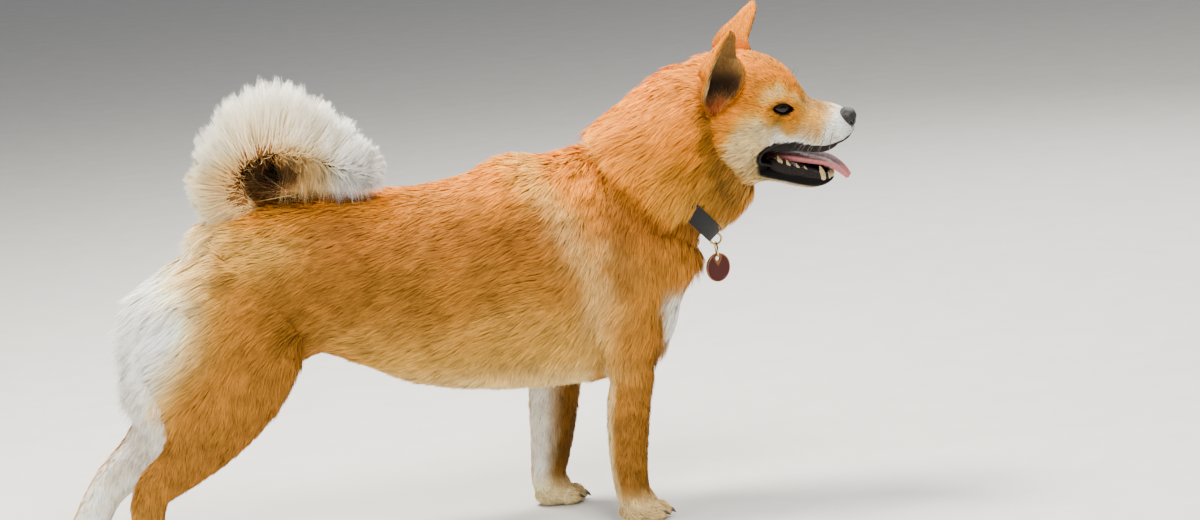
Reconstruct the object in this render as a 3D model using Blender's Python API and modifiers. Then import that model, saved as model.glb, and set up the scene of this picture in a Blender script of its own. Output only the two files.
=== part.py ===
"""A standing shiba inu with a curled tail, open mouth, collar and tag, at life size.

X runs forward through the dog, Y to its left, Z up from the ground. The body is modelled whole
from lofted muscles and parted into named pieces, which meet with a thin gap. The head is shaped
in a frame of its own, then turned to the dog's right and tipped a little.
"""

import math
import random

import bmesh
import bpy
from mathutils import Matrix, Vector
from mathutils.bvhtree import BVHTree

MM = 0.001  # the tables of stations below are in millimetres
GAP = 0.0003  # clearance where two pieces meet
SEED = 7

# ---------------------------------------------------------------- driving dimensions
BODY_VOXEL = 0.0027  # grain of the fused body before it is thinned
BODY_TRIANGLES = 4300
FINE_SHARE = 0.965  # how far the head and feet are thinned, against the flanks
FLAT = math.radians(1.5)  # faces that meet at less than this become one
SECTION_SIDES = 28
TAIL_SIDES = 14
ORIGIN_X = 0.0075  # the tables' zero lies this far behind the middle of the whole dog

HEAD_PIVOT = (294, 0, 428)  # the head's own zero, where the skull meets the neck
HEAD_YAW = -22  # degrees, towards the dog's right
HEAD_ROLL = 9  # degrees, the right ear lower
HEAD_ZERO_Z = 430  # height of the pivot in the head's tables

# x, top, bottom, half width, height of the widest line
TORSO = (
    (-306, 318, 262, 22, 292),
    (-296, 336, 238, 50, 288),
    (-280, 352, 214, 60, 286),
    (-254, 368, 200, 71, 288),
    (-220, 380, 198, 76, 295),
    (-180, 381, 200, 73, 292),
    (-148, 381, 203, 69, 285),
    (-110, 379, 186, 70, 276),
    (-68, 378, 166, 74, 268),
    (-26, 378, 153, 79, 262),
    (20, 387, 147, 82, 262),
    (58, 400, 144, 84, 262),
    (100, 397, 143, 85, 265),
    (140, 401, 145, 84, 268),
    (172, 398, 152, 81, 270),
    (205, 382, 166, 77, 268),
    (230, 350, 186, 64, 265),
    (246, 312, 215, 44, 262),
    (254, 285, 240, 22, 262),
)
# centre x, centre z, pitch of the axis, reach above, reach below, half width
NECK = (
    (160, 312, 38, 60, 90, 78),
    (188, 338, 38, 66, 92, 77),
    (205, 352, 38, 82, 94, 76),
    (222, 366, 38, 83, 96, 74),
    (252, 390, 37, 79, 99, 70),
    (280, 412, 34, 73, 92, 67),
    (303, 428, 30, 62, 78, 62),
)
# Head stations in the head's own frame: x, top, bottom, half width, widest height, fullness
SKULL = (
    (-52, 470, 392, 42, 430, 1.0),
    (-28, 482, 366, 62, 422, 1.0),
    (-6, 487, 350, 68, 412, 1.0),
    (16, 488, 344, 69, 404, 0.98),
    (34, 487, 346, 65, 402, 0.95),
    (50, 481, 356, 57, 404, 0.92),
    (64, 473, 366, 47, 408, 0.90),
    (76, 461, 374, 38, 408, 0.88),
    (86, 445, 376, 32, 404, 0.86),
    (94, 431, 374, 28.5, 400, 0.84),
    (106, 426, 373, 26.5, 398, 0.82),
    (119, 422.5, 374, 24.5, 396, 0.82),
    (129, 418, 377, 21.5, 396, 0.82),
    (136, 412, 380.5, 17.5, 396, 0.85),
    (140.5, 405, 386, 11, 396, 0.9),
)
LOWER_JAW = (
    (14, 384, 345, 46, 364, 1.0),
    (32, 378, 343, 43, 360, 1.0),
    (50, 369.5, 345, 36, 357, 0.95),
    (66, 362, 339, 29, 351, 0.92),
    (84, 354.5, 333.5, 24, 345, 0.90),
    (100, 349, 333, 20, 342, 0.90),
    (109, 346, 336, 15, 341, 0.95),
    (114.5, 344, 340, 7, 342, 1.0),
)
# The open mouth from the side, in the head's frame: corner, upper lip to the front, lower lip back
GAPE = (
    (46, 370), (45.5, 377), (49, 385), (57, 391), (68, 393), (80, 390), (96, 384.5), (112, 381),
    (124, 383.5), (134, 387), (141, 392), (158, 394), (158, 322), (116, 343.5), (110, 345.5),
    (100, 348.5), (84, 354), (66, 361), (54, 366.5),
)
PALATE = ((58, 386), (66, 399), (90, 396), (118, 390), (126, 388), (126, 378), (58, 378))
PALATE_HALF_WIDTH = 15
UPPER_LIP = ((47, 372), (46.5, 378), (50, 385), (58, 390.5), (68, 392.5), (80, 390), (96, 385),
             (112, 381.5), (124, 384), (132, 386.5), (138, 390))
LOWER_LIP = ((47, 373), (54, 366), (66, 360.5), (84, 353.5), (100, 348), (109, 345.5), (113, 343))
LIP_THICKNESS = 2.6

EYE_HALF = (10.5, 14, 12)  # half depth, half width and half height of the ball
EYE_CENTRE = (69.5, 23, 429)  # |y| for either eye
EYE_OUTWARD = 57  # degrees from straight ahead to the middle of the lids
EYE_TILT = 14  # degrees, the outer corner higher
LID_WIDTH, LID_HEIGHT = 26, 13
LID_THICKNESS = 1.5

# Ear rows from the root to the tip: the front rim, the middle of the back and the rear rim,
# each (x, |y|, z) in the head's frame
EAR = (
    ((40, 46, 420), (-10, 50, 412), (14, 60, 412)),
    ((46, 46, 434), (-16, 50, 430), (7, 67, 428)),
    ((46, 40, 449), (-20, 49, 446), (-1, 69.5, 445)),
    ((41, 31, 464), (-21, 48, 463), (-2, 69.5, 461)),
    ((35.5, 27, 478), (-16, 48, 480), (0, 68.5, 476)),
    ((34.5, 35, 490), (-5, 49, 494), (6.5, 67, 489)),
    ((36, 43, 502), (9, 51, 505), (15.5, 65.5, 501)),
    ((37.5, 49.5, 512), (22, 53, 515), (24.5, 63.5, 511)),
    ((38, 54, 518.5), (31, 55.5, 521), (31, 61.5, 518)),
    ((36, 56, 521.5), (33.5, 57, 522.5), (33.5, 59.5, 521.5)),
)
EAR_SLACK = {1: 0.0, -1: 0.24}  # the right ear is turned further forward, its back drawn in
EAR_SCOOP = ((20, 52, 468), (15, 12, 15))  # hollow of the skull inside the ear, |y|
EAR_COLUMNS = 7
EAR_THICKNESS = 3.6

NOSE_CENTRE = (134.5, 0, 405.8)
NOSE_HALF = (9.6, 12.5, 11.2)
NOSTRIL_RADIUS, NOSTRIL_DEPTH = 2.1, 7

# x, z, half width, thickness of the tongue along its length
TONGUE = (
    (44, 368, 16, 12), (58, 371, 17, 13), (76, 369, 17, 12), (94, 363, 15.5, 10), (108, 358.5, 14, 8),
    (117, 352.5, 13, 7), (125, 346, 11.5, 6), (131, 340, 7.5, 4.5),
)
TONGUE_HOLLOW = 3.0

LOWER_CANINE = ((102.5, 12, 346), 11.5, 3.6)  # foot with |y|, height, foot radius
LOWER_INCISORS = (3, 4.4, 3.2, 1.9)  # on each side, spacing, height, radius
LOWER_CHEEK_TEETH = ((90, 15.5, 351, 3.2), (81, 18, 354, 4), (71, 21, 358, 5), (60, 24, 363, 6))
CHEEK_TOOTH_RADIUS, TOOTH_BLUNT = 3.8, 0.45

# x, z, half length fore and aft, half width, |y| of each leg's stations
RIGHT_FORELEG = (
    (150, 305, 50, 26, 50), (168, 258, 52, 30, 57), (170, 212, 43, 30, 61), (166, 178, 31, 25, 62),
    (165, 155, 26, 21.5, 62), (159, 119, 25, 19.5, 62), (155.5, 80, 22.5, 17.5, 62),
    (154.5, 56, 20.5, 17.5, 62), (156, 34, 19, 18, 62), (161, 16, 22, 20, 62),
)
LEFT_FORELEG = (
    (140, 305, 50, 26, 50), (122, 255, 52, 30, 57), (104, 205, 45, 30, 61), (98, 170, 36, 25, 62),
    (96, 148, 32, 21.5, 62), (89, 95, 27, 19, 62), (83, 60, 23, 17.5, 62), (79, 36, 20, 18, 62),
    (82, 16, 22, 20, 62),
)
RIGHT_HINDLEG = (
    (-226, 312, 60, 32, 42), (-244, 272, 78, 38, 46), (-254, 230, 82, 39, 50), (-266, 186, 66, 33, 54),
    (-286, 147, 44, 25, 57), (-314, 117, 29, 20, 58), (-342, 97, 23, 17.5, 58), (-354, 76, 20.5, 16, 58),
    (-356, 52, 18.5, 15.5, 58), (-355, 30, 18, 17, 58), (-348, 15, 21, 19, 58),
)
LEFT_HINDLEG = (
    (-230, 312, 60, 32, 42), (-251, 272, 76, 38, 46), (-271, 230, 86, 39, 50), (-294, 186, 70, 33, 54),
    (-320, 147, 46, 25, 57), (-351, 115, 29, 20, 58), (-386, 86, 23, 17.5, 58), (-404, 66, 20.5, 16, 58),
    (-418, 44, 19.5, 15.5, 58), (-430, 24, 18, 17, 58), (-430, 14, 20, 18, 58),
)
BREECHES_TOP, BREECHES_ROWS, BREECHES_STEP = 286, 5, 27
BREECHES_ACROSS, BREECHES_SPACING, BREECHES_MIDDLE = 3, 22, 48
BREECHES_BACK = {"right": -335, "left": -355}
BREECHES_LENGTH, BREECHES_WIDTH = 46, 23
BREECHES_LIFT = 12  # how far their tips stand out
LOCK_SINK = 7  # how deep a lock is rooted
RUFF_LOCKS, RUFF_STEP, RUFF_AHEAD = 11, 15, 20  # count, degrees apart, distance before the collar
RUFF_LENGTH, RUFF_WIDTH, RUFF_LIFT = 32, 25, 4.5
# toe line: x of the paw's middle, |y|, half length, half width
PAWS = {
    "foreleg_right": (164, -62, 27, 22),
    "foreleg_left": (87, 62, 27, 22),
    "hindleg_right": (-344, -58, 26, 20),
    "hindleg_left": (-422, 58, 26, 20),
}
TOES = ((-0.66, 0.35), (-0.24, 0.62), (0.24, 0.62), (0.66, 0.35))  # across, ahead, as shares
PAW_HEIGHT = 26
CLAW_LENGTH, CLAW_RADIUS = 12, 2.6

# Tail, from its root on the croup, back, up, over and forward along the back:
# x, z, core radius, hair reach outward, sideways and inward
TAIL = (
    (-204, 350, 17, 20, 20, 17),
    (-218, 364, 18, 30, 26, 17),
    (-230, 381, 17, 42, 34, 15),
    (-236, 400, 16, 45, 40, 16),
    (-229, 419, 15, 44, 44, 20),
    (-210, 433, 14, 54, 47, 22),
    (-185, 438, 13, 67, 48, 25),
    (-160, 432, 12, 54, 46, 38),
    (-137, 420, 10, 44, 42, 36),
    (-115, 408, 8, 40, 34, 24),
    (-93, 399, 5, 27, 22, 14),
    (-72, 395, 2, 8, 8, 6),
)
TAIL_CORE = 0.5  # share of the hair's length that is solid under the locks
TAIL_LOCK_ROWS = 12
# where each lock of a row is rooted and where its tip lies, in degrees round the tail from its left
TAIL_LOCK_ANGLES = ((80, 88), (100, 92), (50, 68), (130, 112), (16, 44), (164, 136), (-22, 2), (200, 172),
                    (238, 228))
TAIL_LOCK_WIDTH = 19
LOCK_THICKNESS = 5.5
LOCK_RINGS = ((0.0, 0.7), (0.42, 1.0), (0.78, 0.6))  # place along the lock, share of its width
TAIL_SIDE = -4  # |y| of the root, a little to the right
TAIL_DRIFT = 24  # the tip lies this much further to the right

COLLAR_POINT = (223, 350)
COLLAR_PITCH = 40.6
COLLAR_SECTION = (72, 68, 80)  # half width, reach to the nape, reach to the throat
COLLAR_WIDTH, COLLAR_THICKNESS = 20, 3.4
LOOP_RADIUS, LOOP_WIRE = 6.0, 1.2
RING_RADIUS, RING_WIRE = 8.0, 1.2
TAG_RADIUS, TAG_THICKNESS, TAG_RIM = 15.5, 2.4, 1.2
TAG_HOLE, TAG_MARGIN = 3.0, 2.2  # the hole's radius and the metal over it
TAG_TURN = 28  # degrees, the tag's face turned forward from square to the dog's side

# Where the body is parted
HEAD_CUT = ((292, 0, 415), 23.5, -12)  # point, pitch and yaw of the cut's normal
JAW_CUT = ((49, -110, 300), (200, 110, 377))  # box in the head's frame
FORELEG_BOX = {"right": ((125, 36, -20), (235, 130, 172)), "left": ((50, 36, -20), (150, 130, 172))}
HIP_CUT = ((-172, 0, 228), -132)  # point and pitch of the cut over each thigh
HIP_INNER = 6  # |y| of the pelvis that stays with the torso

SKIN_COLOURS = {
    "orange": ((0.62, 0.27, 0.08), 0.8),
    "cream": ((0.86, 0.78, 0.64), 0.85),
    "black": ((0.02, 0.02, 0.02), 0.4),
    "pink": ((0.72, 0.30, 0.32), 0.4),
    "eye": ((0.04, 0.02, 0.015), 0.1),
    "web": ((0.02, 0.02, 0.022), 0.8),
    "brass": ((0.70, 0.50, 0.20), 0.3),
    "maroon": ((0.25, 0.02, 0.03), 0.3),
}


# ---------------------------------------------------------------- small helpers
def head_matrix():
    """From the head's own frame (millimetres) to the dog's frame (metres)."""
    turn = Matrix.Rotation(math.radians(HEAD_YAW), 4, "Z")
    roll = Matrix.Rotation(math.radians(HEAD_ROLL), 4, "X")
    place = Matrix.Translation(Vector(HEAD_PIVOT) * MM)
    lower = Matrix.Translation(Vector((0, 0, -HEAD_ZERO_Z)))
    return place @ turn @ roll @ Matrix.Scale(MM, 4) @ lower


def mirrored(point, side):
    """A point with its |y| put on the left (+1) or right (-1)."""
    return Vector((point[0], side * point[1], point[2]))


def power(value, exponent):
    return math.copysign(abs(value) ** exponent, value)


def new_object(name, bm, collection):
    """An object from a bmesh, its faces turned outwards."""
    bmesh.ops.recalc_face_normals(bm, faces=bm.faces)
    mesh = bpy.data.meshes.new(name)
    bm.to_mesh(mesh)
    bm.free()
    obj = bpy.data.objects.new(name, mesh)
    collection.objects.link(obj)
    return obj


def loft(name, rings, collection):
    """A closed skin over rings of equal count, capped by flat fans at both ends."""
    bm = bmesh.new()
    rows = [[bm.verts.new(point) for point in ring] for ring in rings]
    count = len(rings[0])
    for low, high in zip(rows, rows[1:]):
        for k in range(count):
            n = (k + 1) % count
            bm.faces.new((low[k], low[n], high[n], high[k]))
    for row in (rows[0], rows[-1]):
        middle = bm.verts.new(sum((v.co for v in row), Vector()) / count)
        for k in range(count):
            bm.faces.new((row[k], row[(k + 1) % count], middle))
    return new_object(name, bm, collection)


def egg(centre, across, up, half_width, above, below, fullness=1.0, sides=SECTION_SIDES):
    """A closed section whose top and bottom halves have their own heights."""
    points = []
    for k in range(sides):
        angle = 2 * math.pi * k / sides
        rise = math.sin(angle)
        reach = above if rise > 0 else below
        side = half_width * power(math.cos(angle), fullness)
        points.append(centre + across * side + up * reach * power(rise, fullness))
    return points


def apply_modifiers(obj):
    """Replace an object's mesh by what its modifiers make of it."""
    graph = bpy.context.evaluated_depsgraph_get()
    mesh = bpy.data.meshes.new_from_object(obj.evaluated_get(graph))
    obj.modifiers.clear()
    old = obj.data
    obj.data = mesh
    bpy.data.meshes.remove(old)


def remove(obj):
    bpy.data.objects.remove(obj, do_unlink=True)


def duplicate(obj, name, collection):
    copy = bpy.data.objects.new(name, obj.data.copy())
    copy.matrix_world = obj.matrix_world
    collection.objects.link(copy)
    return copy


def boolean(obj, other, operation, solver="EXACT"):
    """Apply one Boolean with one object and remove that object."""
    step = obj.modifiers.new(operation.lower(), "BOOLEAN")
    step.operation = operation
    step.solver = solver
    step.object = other
    apply_modifiers(obj)
    remove(other)


def union_all(obj, pieces, scratch, solver="EXACT"):
    """Join closed pieces to an object in one Boolean union, and remove them."""
    group = bpy.data.collections.new(obj.name + "_pieces")
    scratch.children.link(group)
    for piece in pieces:
        for owner in list(piece.users_collection):
            owner.objects.unlink(piece)
        group.objects.link(piece)
    step = obj.modifiers.new("join", "BOOLEAN")
    step.operation = "UNION"
    step.solver = solver
    step.operand_type = "COLLECTION"
    step.collection = group
    apply_modifiers(obj)
    for piece in list(group.objects):
        remove(piece)
    bpy.data.collections.remove(group)


def islands(bm):
    """The separate bodies of a mesh, as lists of faces."""
    left = set(bm.faces)
    found = []
    while left:
        stack = [left.pop()]
        body = []
        while stack:
            face = stack.pop()
            body.append(face)
            for edge in face.edges:
                for other in edge.link_faces:
                    if other in left:
                        left.remove(other)
                        stack.append(other)
        found.append(body)
    return found


def volume(faces):
    total = 0.0
    for face in faces:
        corners = [v.co for v in face.verts]
        for a, b in zip(corners[1:], corners[2:]):
            total += corners[0].dot(a.cross(b)) / 6
    return total


def keep_largest(obj):
    """Keep the largest closed surface and drop loose scraps, slivers and sealed hollows."""
    bm = bmesh.new()
    bm.from_mesh(obj.data)
    bodies = sorted(islands(bm), key=volume, reverse=True)
    spare = [face for body in bodies[1:] for face in body]
    bmesh.ops.delete(bm, geom=spare, context="FACES")
    bmesh.ops.dissolve_limit(bm, angle_limit=FLAT, verts=bm.verts, edges=bm.edges)
    bmesh.ops.triangulate(bm, faces=bm.faces)
    bm.to_mesh(obj.data)
    bm.free()


def grown(obj, distance, scratch):
    """A copy whose surface stands out by a distance, for cutting a neighbour clear of it."""
    copy = duplicate(obj, obj.name + "_grown", scratch)
    bm = bmesh.new()
    bm.from_mesh(copy.data)
    bm.normal_update()
    moves = []
    for vert in bm.verts:
        slack = min((vert.normal.dot(face.normal) for face in vert.link_faces), default=1)
        moves.append(vert.normal * distance / max(slack, 0.5))
    for vert, move in zip(bm.verts, moves):
        vert.co += move
    bm.to_mesh(copy.data)
    bm.free()
    return copy


def clear_of(obj, neighbours, scratch, solver="EXACT"):
    """Cut an object back to the thin gap from each neighbour."""
    for neighbour in neighbours:
        boolean(obj, grown(neighbour, GAP, scratch), "DIFFERENCE", solver)
    keep_largest(obj)


def make_material(name):
    colour, roughness = SKIN_COLOURS[name]
    material = bpy.data.materials.new(name)
    material.use_nodes = True
    shader = material.node_tree.nodes["Principled BSDF"]
    shader.inputs["Base Color"].default_value = (*colour, 1)
    shader.inputs["Roughness"].default_value = roughness
    shader.inputs["Metallic"].default_value = 1.0 if name == "brass" else 0.0
    return material


# ---------------------------------------------------------------- the body's lofts
def torso(scratch):
    rings = [
        egg(Vector((x, 0, widest)) * MM, Vector((0, 1, 0)), Vector((0, 0, 1)), half * MM,
            (top - widest) * MM, (widest - bottom) * MM)
        for x, top, bottom, half, widest in TORSO
    ]
    return loft("torso_form", rings, scratch)


def neck(scratch):
    rings = []
    for x, z, pitch, above, below, half in NECK:
        angle = math.radians(pitch)
        up = Vector((-math.sin(angle), 0, math.cos(angle)))
        rings.append(egg(Vector((x, 0, z)) * MM, Vector((0, 1, 0)), up, half * MM,
                         above * MM, below * MM))
    return loft("neck_form", rings, scratch)


def head_form(name, stations, scratch):
    """A skull or jaw from upright sections in the head's frame."""
    place = head_matrix()
    rings = []
    for x, top, bottom, half, widest, fullness in stations:
        flat = egg(Vector((x, 0, widest)), Vector((0, 1, 0)), Vector((0, 0, 1)), half,
                   top - widest, widest - bottom, fullness)
        rings.append([place @ point for point in flat])
    return loft(name, rings, scratch)


def leg(name, stations, side, scratch):
    """A leg lofted along its bones, each section square to the way the leg runs."""
    points = [Vector((x, side * y, z)) for x, z, _, _, y in stations]
    rings = []
    for i, (_, _, half_length, half_width, _) in enumerate(stations):
        run = points[min(i + 1, len(points) - 1)] - points[max(i - 1, 0)]
        run.y = 0
        run.normalize()
        fore = Vector((-run.z, 0, run.x))
        rings.append([p * MM for p in egg(points[i], Vector((0, 1, 0)), fore, half_width,
                                          half_length, half_length)])
    return loft(name, rings, scratch)


def ball(name, centre, radii, scratch, turn=None, segments=20, rings=12):
    """An ellipsoid, its centre and radii in millimetres."""
    bm = bmesh.new()
    bmesh.ops.create_uvsphere(bm, u_segments=segments, v_segments=rings, radius=1)
    shape = Matrix.Diagonal((*radii, 1))
    place = Matrix.Translation(Vector(centre)) @ (turn or Matrix.Identity(4)) @ shape
    bmesh.ops.transform(bm, matrix=Matrix.Scale(MM, 4) @ place, verts=bm.verts)
    return new_object(name, bm, scratch)


def paw(name, scratch):
    """The pad and four arched toes of one foot."""
    x, y, half_length, half_width = PAWS[name]
    pieces = [ball("pad", (x - 3, y, 12), (half_length - 3, half_width - 1, 15), scratch)]
    for across, ahead in TOES:
        centre = (x + ahead * half_length, y + across * half_width, 9.5)
        pieces.append(ball("toe", centre, (13.5, half_width * 0.31, 11.5), scratch))
    return pieces


def claws(name, scratch):
    """The four blunt claws of one foot, rooted in its toes."""
    x, y, half_length, half_width = PAWS[name]
    pieces = []
    for across, ahead in TOES:
        root = Vector((x + ahead * half_length + 6, y + across * half_width * 1.02, 9.5))
        tip = root + Vector((CLAW_LENGTH, 0, -4.5))
        pieces.append(cone("claw", root * MM, tip * MM, CLAW_RADIUS * MM, 0.35, scratch))
    return pieces


def fuse(name, pieces, scratch):
    """Melt overlapping forms into one even skin."""
    bm = bmesh.new()
    for piece in pieces:
        bm.from_mesh(piece.data)
        remove(piece)
    body = new_object(name, bm, scratch)
    remesh = body.modifiers.new("melt", "REMESH")
    remesh.mode = "VOXEL"
    remesh.voxel_size = BODY_VOXEL
    relax = body.modifiers.new("relax", "SMOOTH")
    relax.factor = 0.5
    relax.iterations = 6
    apply_modifiers(body)
    keep_largest(body)
    return body


def thin(body):
    """Fewer faces on the plain flanks, more on the head and feet."""
    group = body.vertex_groups.new(name="plain")
    head_back = HEAD_PIVOT[0] * MM
    foot_top = PAW_HEIGHT * 1.6 * MM
    for vert in body.data.vertices:
        fine = vert.co.x > head_back or vert.co.z < foot_top
        group.add([vert.index], FINE_SHARE if fine else 1.0, "REPLACE")
    step = body.modifiers.new("thin", "DECIMATE")
    step.ratio = BODY_TRIANGLES / len(body.data.polygons)
    step.vertex_group = group.name
    step.vertex_group_factor = 1.0
    step.use_collapse_triangulate = True
    apply_modifiers(body)
    body.vertex_groups.clear()


# ---------------------------------------------------------------- mouth, eyes
def prism(name, outline, half_width, scratch):
    """A side-view outline of the head's frame run through across the head."""
    place = head_matrix()
    rings = [[place @ Vector((x, side * half_width, z)) for x, z in outline] for side in (-1, 1)]
    bm = bmesh.new()
    left, right = [[bm.verts.new(point) for point in ring] for ring in rings]
    bm.faces.new(left)
    bm.faces.new(right)
    for k in range(len(left)):
        n = (k + 1) % len(left)
        bm.faces.new((left[k], left[n], right[n], right[k]))
    return new_object(name, bm, scratch)


def eye_matrix(side):
    """The eye's own frame: +X out through the pupil, +Z towards the upper lid."""
    place = head_matrix() @ Matrix.Translation(mirrored(EYE_CENTRE, side))
    out = Matrix.Rotation(side * math.radians(EYE_OUTWARD), 4, "Z")
    tilt = Matrix.Rotation(side * math.radians(EYE_TILT), 4, "X")
    return place @ out @ tilt


def eyeball(name, side, extra, scratch):
    """The ball of one eye, grown by extra (metres) for its socket or its lids."""
    bm = bmesh.new()
    bmesh.ops.create_uvsphere(bm, u_segments=14, v_segments=8, radius=1)
    size = Matrix.Diagonal((*(half + extra / MM for half in EYE_HALF), 1))
    bmesh.ops.transform(bm, matrix=eye_matrix(side) @ size, verts=bm.verts)
    return new_object(name, bm, scratch)


def lid_opening(side, scratch):
    """An almond prism that leaves the eye through the lids."""
    outline = []
    steps = 8
    for k in range(2 * steps):
        along = -math.cos(math.pi * k / steps) if k < steps else math.cos(math.pi * (k - steps) / steps)
        rise = (1 - along * along) ** 0.75 * LID_HEIGHT * (0.55 if k < steps else -0.45)
        outline.append((along * LID_WIDTH / 2, rise))
    place = eye_matrix(side)
    rings = [[place @ Vector((depth, y, z)) for y, z in outline] for depth in (5.5, 26)]
    bm = bmesh.new()
    inner, outer = [[bm.verts.new(point) for point in ring] for ring in rings]
    bm.faces.new(inner)
    bm.faces.new(outer)
    for k in range(len(inner)):
        n = (k + 1) % len(inner)
        bm.faces.new((inner[k], inner[n], outer[n], outer[k]))
    return new_object("lid_opening", bm, scratch)


def surface_point(tree, x, z, side):
    """Where the head's surface is widest beside a point of the side view."""
    place = head_matrix()
    start = place @ Vector((x, side * 120, z))
    aim = (place.to_3x3() @ Vector((0, -side, 0))).normalized()
    hit = tree.ray_cast(start, aim)[0]
    return hit


def lip(name, outline, tree, scratch):
    """The rolled edge of one lip, along the right side, round the front and back on the left."""
    right = [surface_point(tree, x, z, -1) for x, z in outline]
    left = [surface_point(tree, x, z, 1) for x, z in reversed(outline)]
    points = [point for point in right + left if point is not None]
    curve = bpy.data.curves.new(name, "CURVE")
    curve.dimensions = "3D"
    curve.bevel_depth = LIP_THICKNESS * MM
    curve.bevel_resolution = 0
    curve.use_fill_caps = True
    line = curve.splines.new("POLY")
    line.points.add(len(points) - 1)
    for spot, point in zip(line.points, points):
        spot.co = (*point, 1)
    wire = bpy.data.objects.new(name, curve)
    scratch.objects.link(wire)
    return mesh_of_curve(wire, scratch)


def mesh_of_curve(wire, scratch):
    """A closed mesh of a filled curve, which takes the curve's place."""
    graph = bpy.context.evaluated_depsgraph_get()
    mesh = bpy.data.meshes.new_from_object(wire.evaluated_get(graph))
    bm = bmesh.new()
    bm.from_mesh(mesh)
    bmesh.ops.remove_doubles(bm, verts=bm.verts, dist=1e-6)
    bm.transform(wire.matrix_world)
    obj = new_object(wire.name + "_mesh", bm, scratch)
    bpy.data.meshes.remove(mesh)
    remove(wire)
    return obj


# ---------------------------------------------------------------- nose, teeth, tongue, ears
def nose_form(extra, scratch):
    """The rounded leather of the nose; extra swells it evenly for the head's seat."""
    bm = bmesh.new()
    bmesh.ops.create_uvsphere(bm, u_segments=14, v_segments=8, radius=1)
    for vert in bm.verts:
        rounded = [power(c, 0.75) for c in vert.co]
        grow = [half + extra / MM for half in NOSE_HALF]
        vert.co = Vector(rounded[i] * grow[i] for i in range(3))
        taper = 1 - 0.28 * max(0, -vert.co.z / NOSE_HALF[2])
        vert.co.y *= taper
    place = head_matrix() @ Matrix.Translation(Vector(NOSE_CENTRE))
    tilt = Matrix.Rotation(math.radians(12), 4, "Y")
    bmesh.ops.transform(bm, matrix=place @ tilt, verts=bm.verts)
    return new_object("nose", bm, scratch)


def nostril(side, scratch):
    bm = bmesh.new()
    bmesh.ops.create_cone(bm, cap_ends=True, segments=10, radius1=NOSTRIL_RADIUS * 0.55,
                          radius2=NOSTRIL_RADIUS * 1.25, depth=NOSTRIL_DEPTH)
    lean = Matrix.Rotation(math.radians(90), 4, "Y")
    splay = Matrix.Rotation(side * math.radians(38), 4, "Z")
    spot = Matrix.Translation(Vector(NOSE_CENTRE) + Vector((7.6, side * 5.6, 0.0)))
    flat = Matrix.Diagonal((0.8, 1.25, 1, 1))
    bmesh.ops.transform(bm, matrix=head_matrix() @ spot @ splay @ lean @ flat, verts=bm.verts)
    return new_object("nostril", bm, scratch)


def cone(name, foot, tip, radius, blunt, scratch, sides=5):
    """A blunt pointed piece from its foot to its tip, in the dog's frame."""
    run = tip - foot
    bm = bmesh.new()
    bmesh.ops.create_cone(bm, cap_ends=True, segments=sides, radius1=radius, radius2=radius * blunt,
                          depth=run.length)
    turn = run.to_track_quat("Z", "Y").to_matrix().to_4x4()
    bmesh.ops.transform(bm, matrix=Matrix.Translation((foot + tip) / 2) @ turn, verts=bm.verts)
    return new_object(name, bm, scratch)


def lower_teeth(scratch):
    """Canines, incisors and the saw-edged cheek teeth that the open mouth shows."""
    place = head_matrix()
    pieces = []

    def tooth(x, y, z, height, radius, lean=0.0):
        foot = place @ Vector((x, y, z - 5))
        tip = place @ Vector((x - lean, y, z + height))
        pieces.append(cone("tooth", foot, tip, radius * MM, TOOTH_BLUNT, scratch))

    (x, y, z), height, radius = LOWER_CANINE
    count, spacing, rise, width = LOWER_INCISORS
    for side in (-1, 1):
        tooth(x, side * y, z, height, radius, 2.0)
        for k in range(count):
            tooth(x + 7.5 - 1.1 * k, side * (k + 0.5) * spacing * 0.72, z - 0.5, rise, width)
        for tx, ty, tz, th in LOWER_CHEEK_TEETH:
            tooth(tx, side * ty, tz, th, CHEEK_TOOTH_RADIUS)
    return pieces


def tongue(scratch):
    """A broad tongue, hollowed along its middle, its tip out over the lower front teeth."""
    place = head_matrix()
    rings = []
    for i, (x, z, half, thick) in enumerate(TONGUE):
        before = TONGUE[max(i - 1, 0)]
        after = TONGUE[min(i + 1, len(TONGUE) - 1)]
        run = Vector((after[0] - before[0], 0, after[1] - before[1])).normalized()
        up = Vector((-run.z, 0, run.x))
        ring = []
        for point in egg(Vector((x, 0, z)), Vector((0, 1, 0)), up, half, thick / 2, thick / 2,
                         0.8, 12):
            dip = TONGUE_HOLLOW * (1 - (point.y / half) ** 2) * min(1, thick / 8)
            ring.append(place @ (point - up * dip))
        rings.append(ring)
    return loft("tongue", rings, scratch)


def scoop(centre, radii, scratch):
    """The hollow that the ear's cup leads into, in the head's frame."""
    bm = bmesh.new()
    bmesh.ops.create_uvsphere(bm, u_segments=12, v_segments=8, radius=1)
    place = head_matrix() @ Matrix.Translation(centre) @ Matrix.Diagonal((*radii, 1))
    bmesh.ops.transform(bm, matrix=place, verts=bm.verts)
    return new_object("scoop", bm, scratch)


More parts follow.
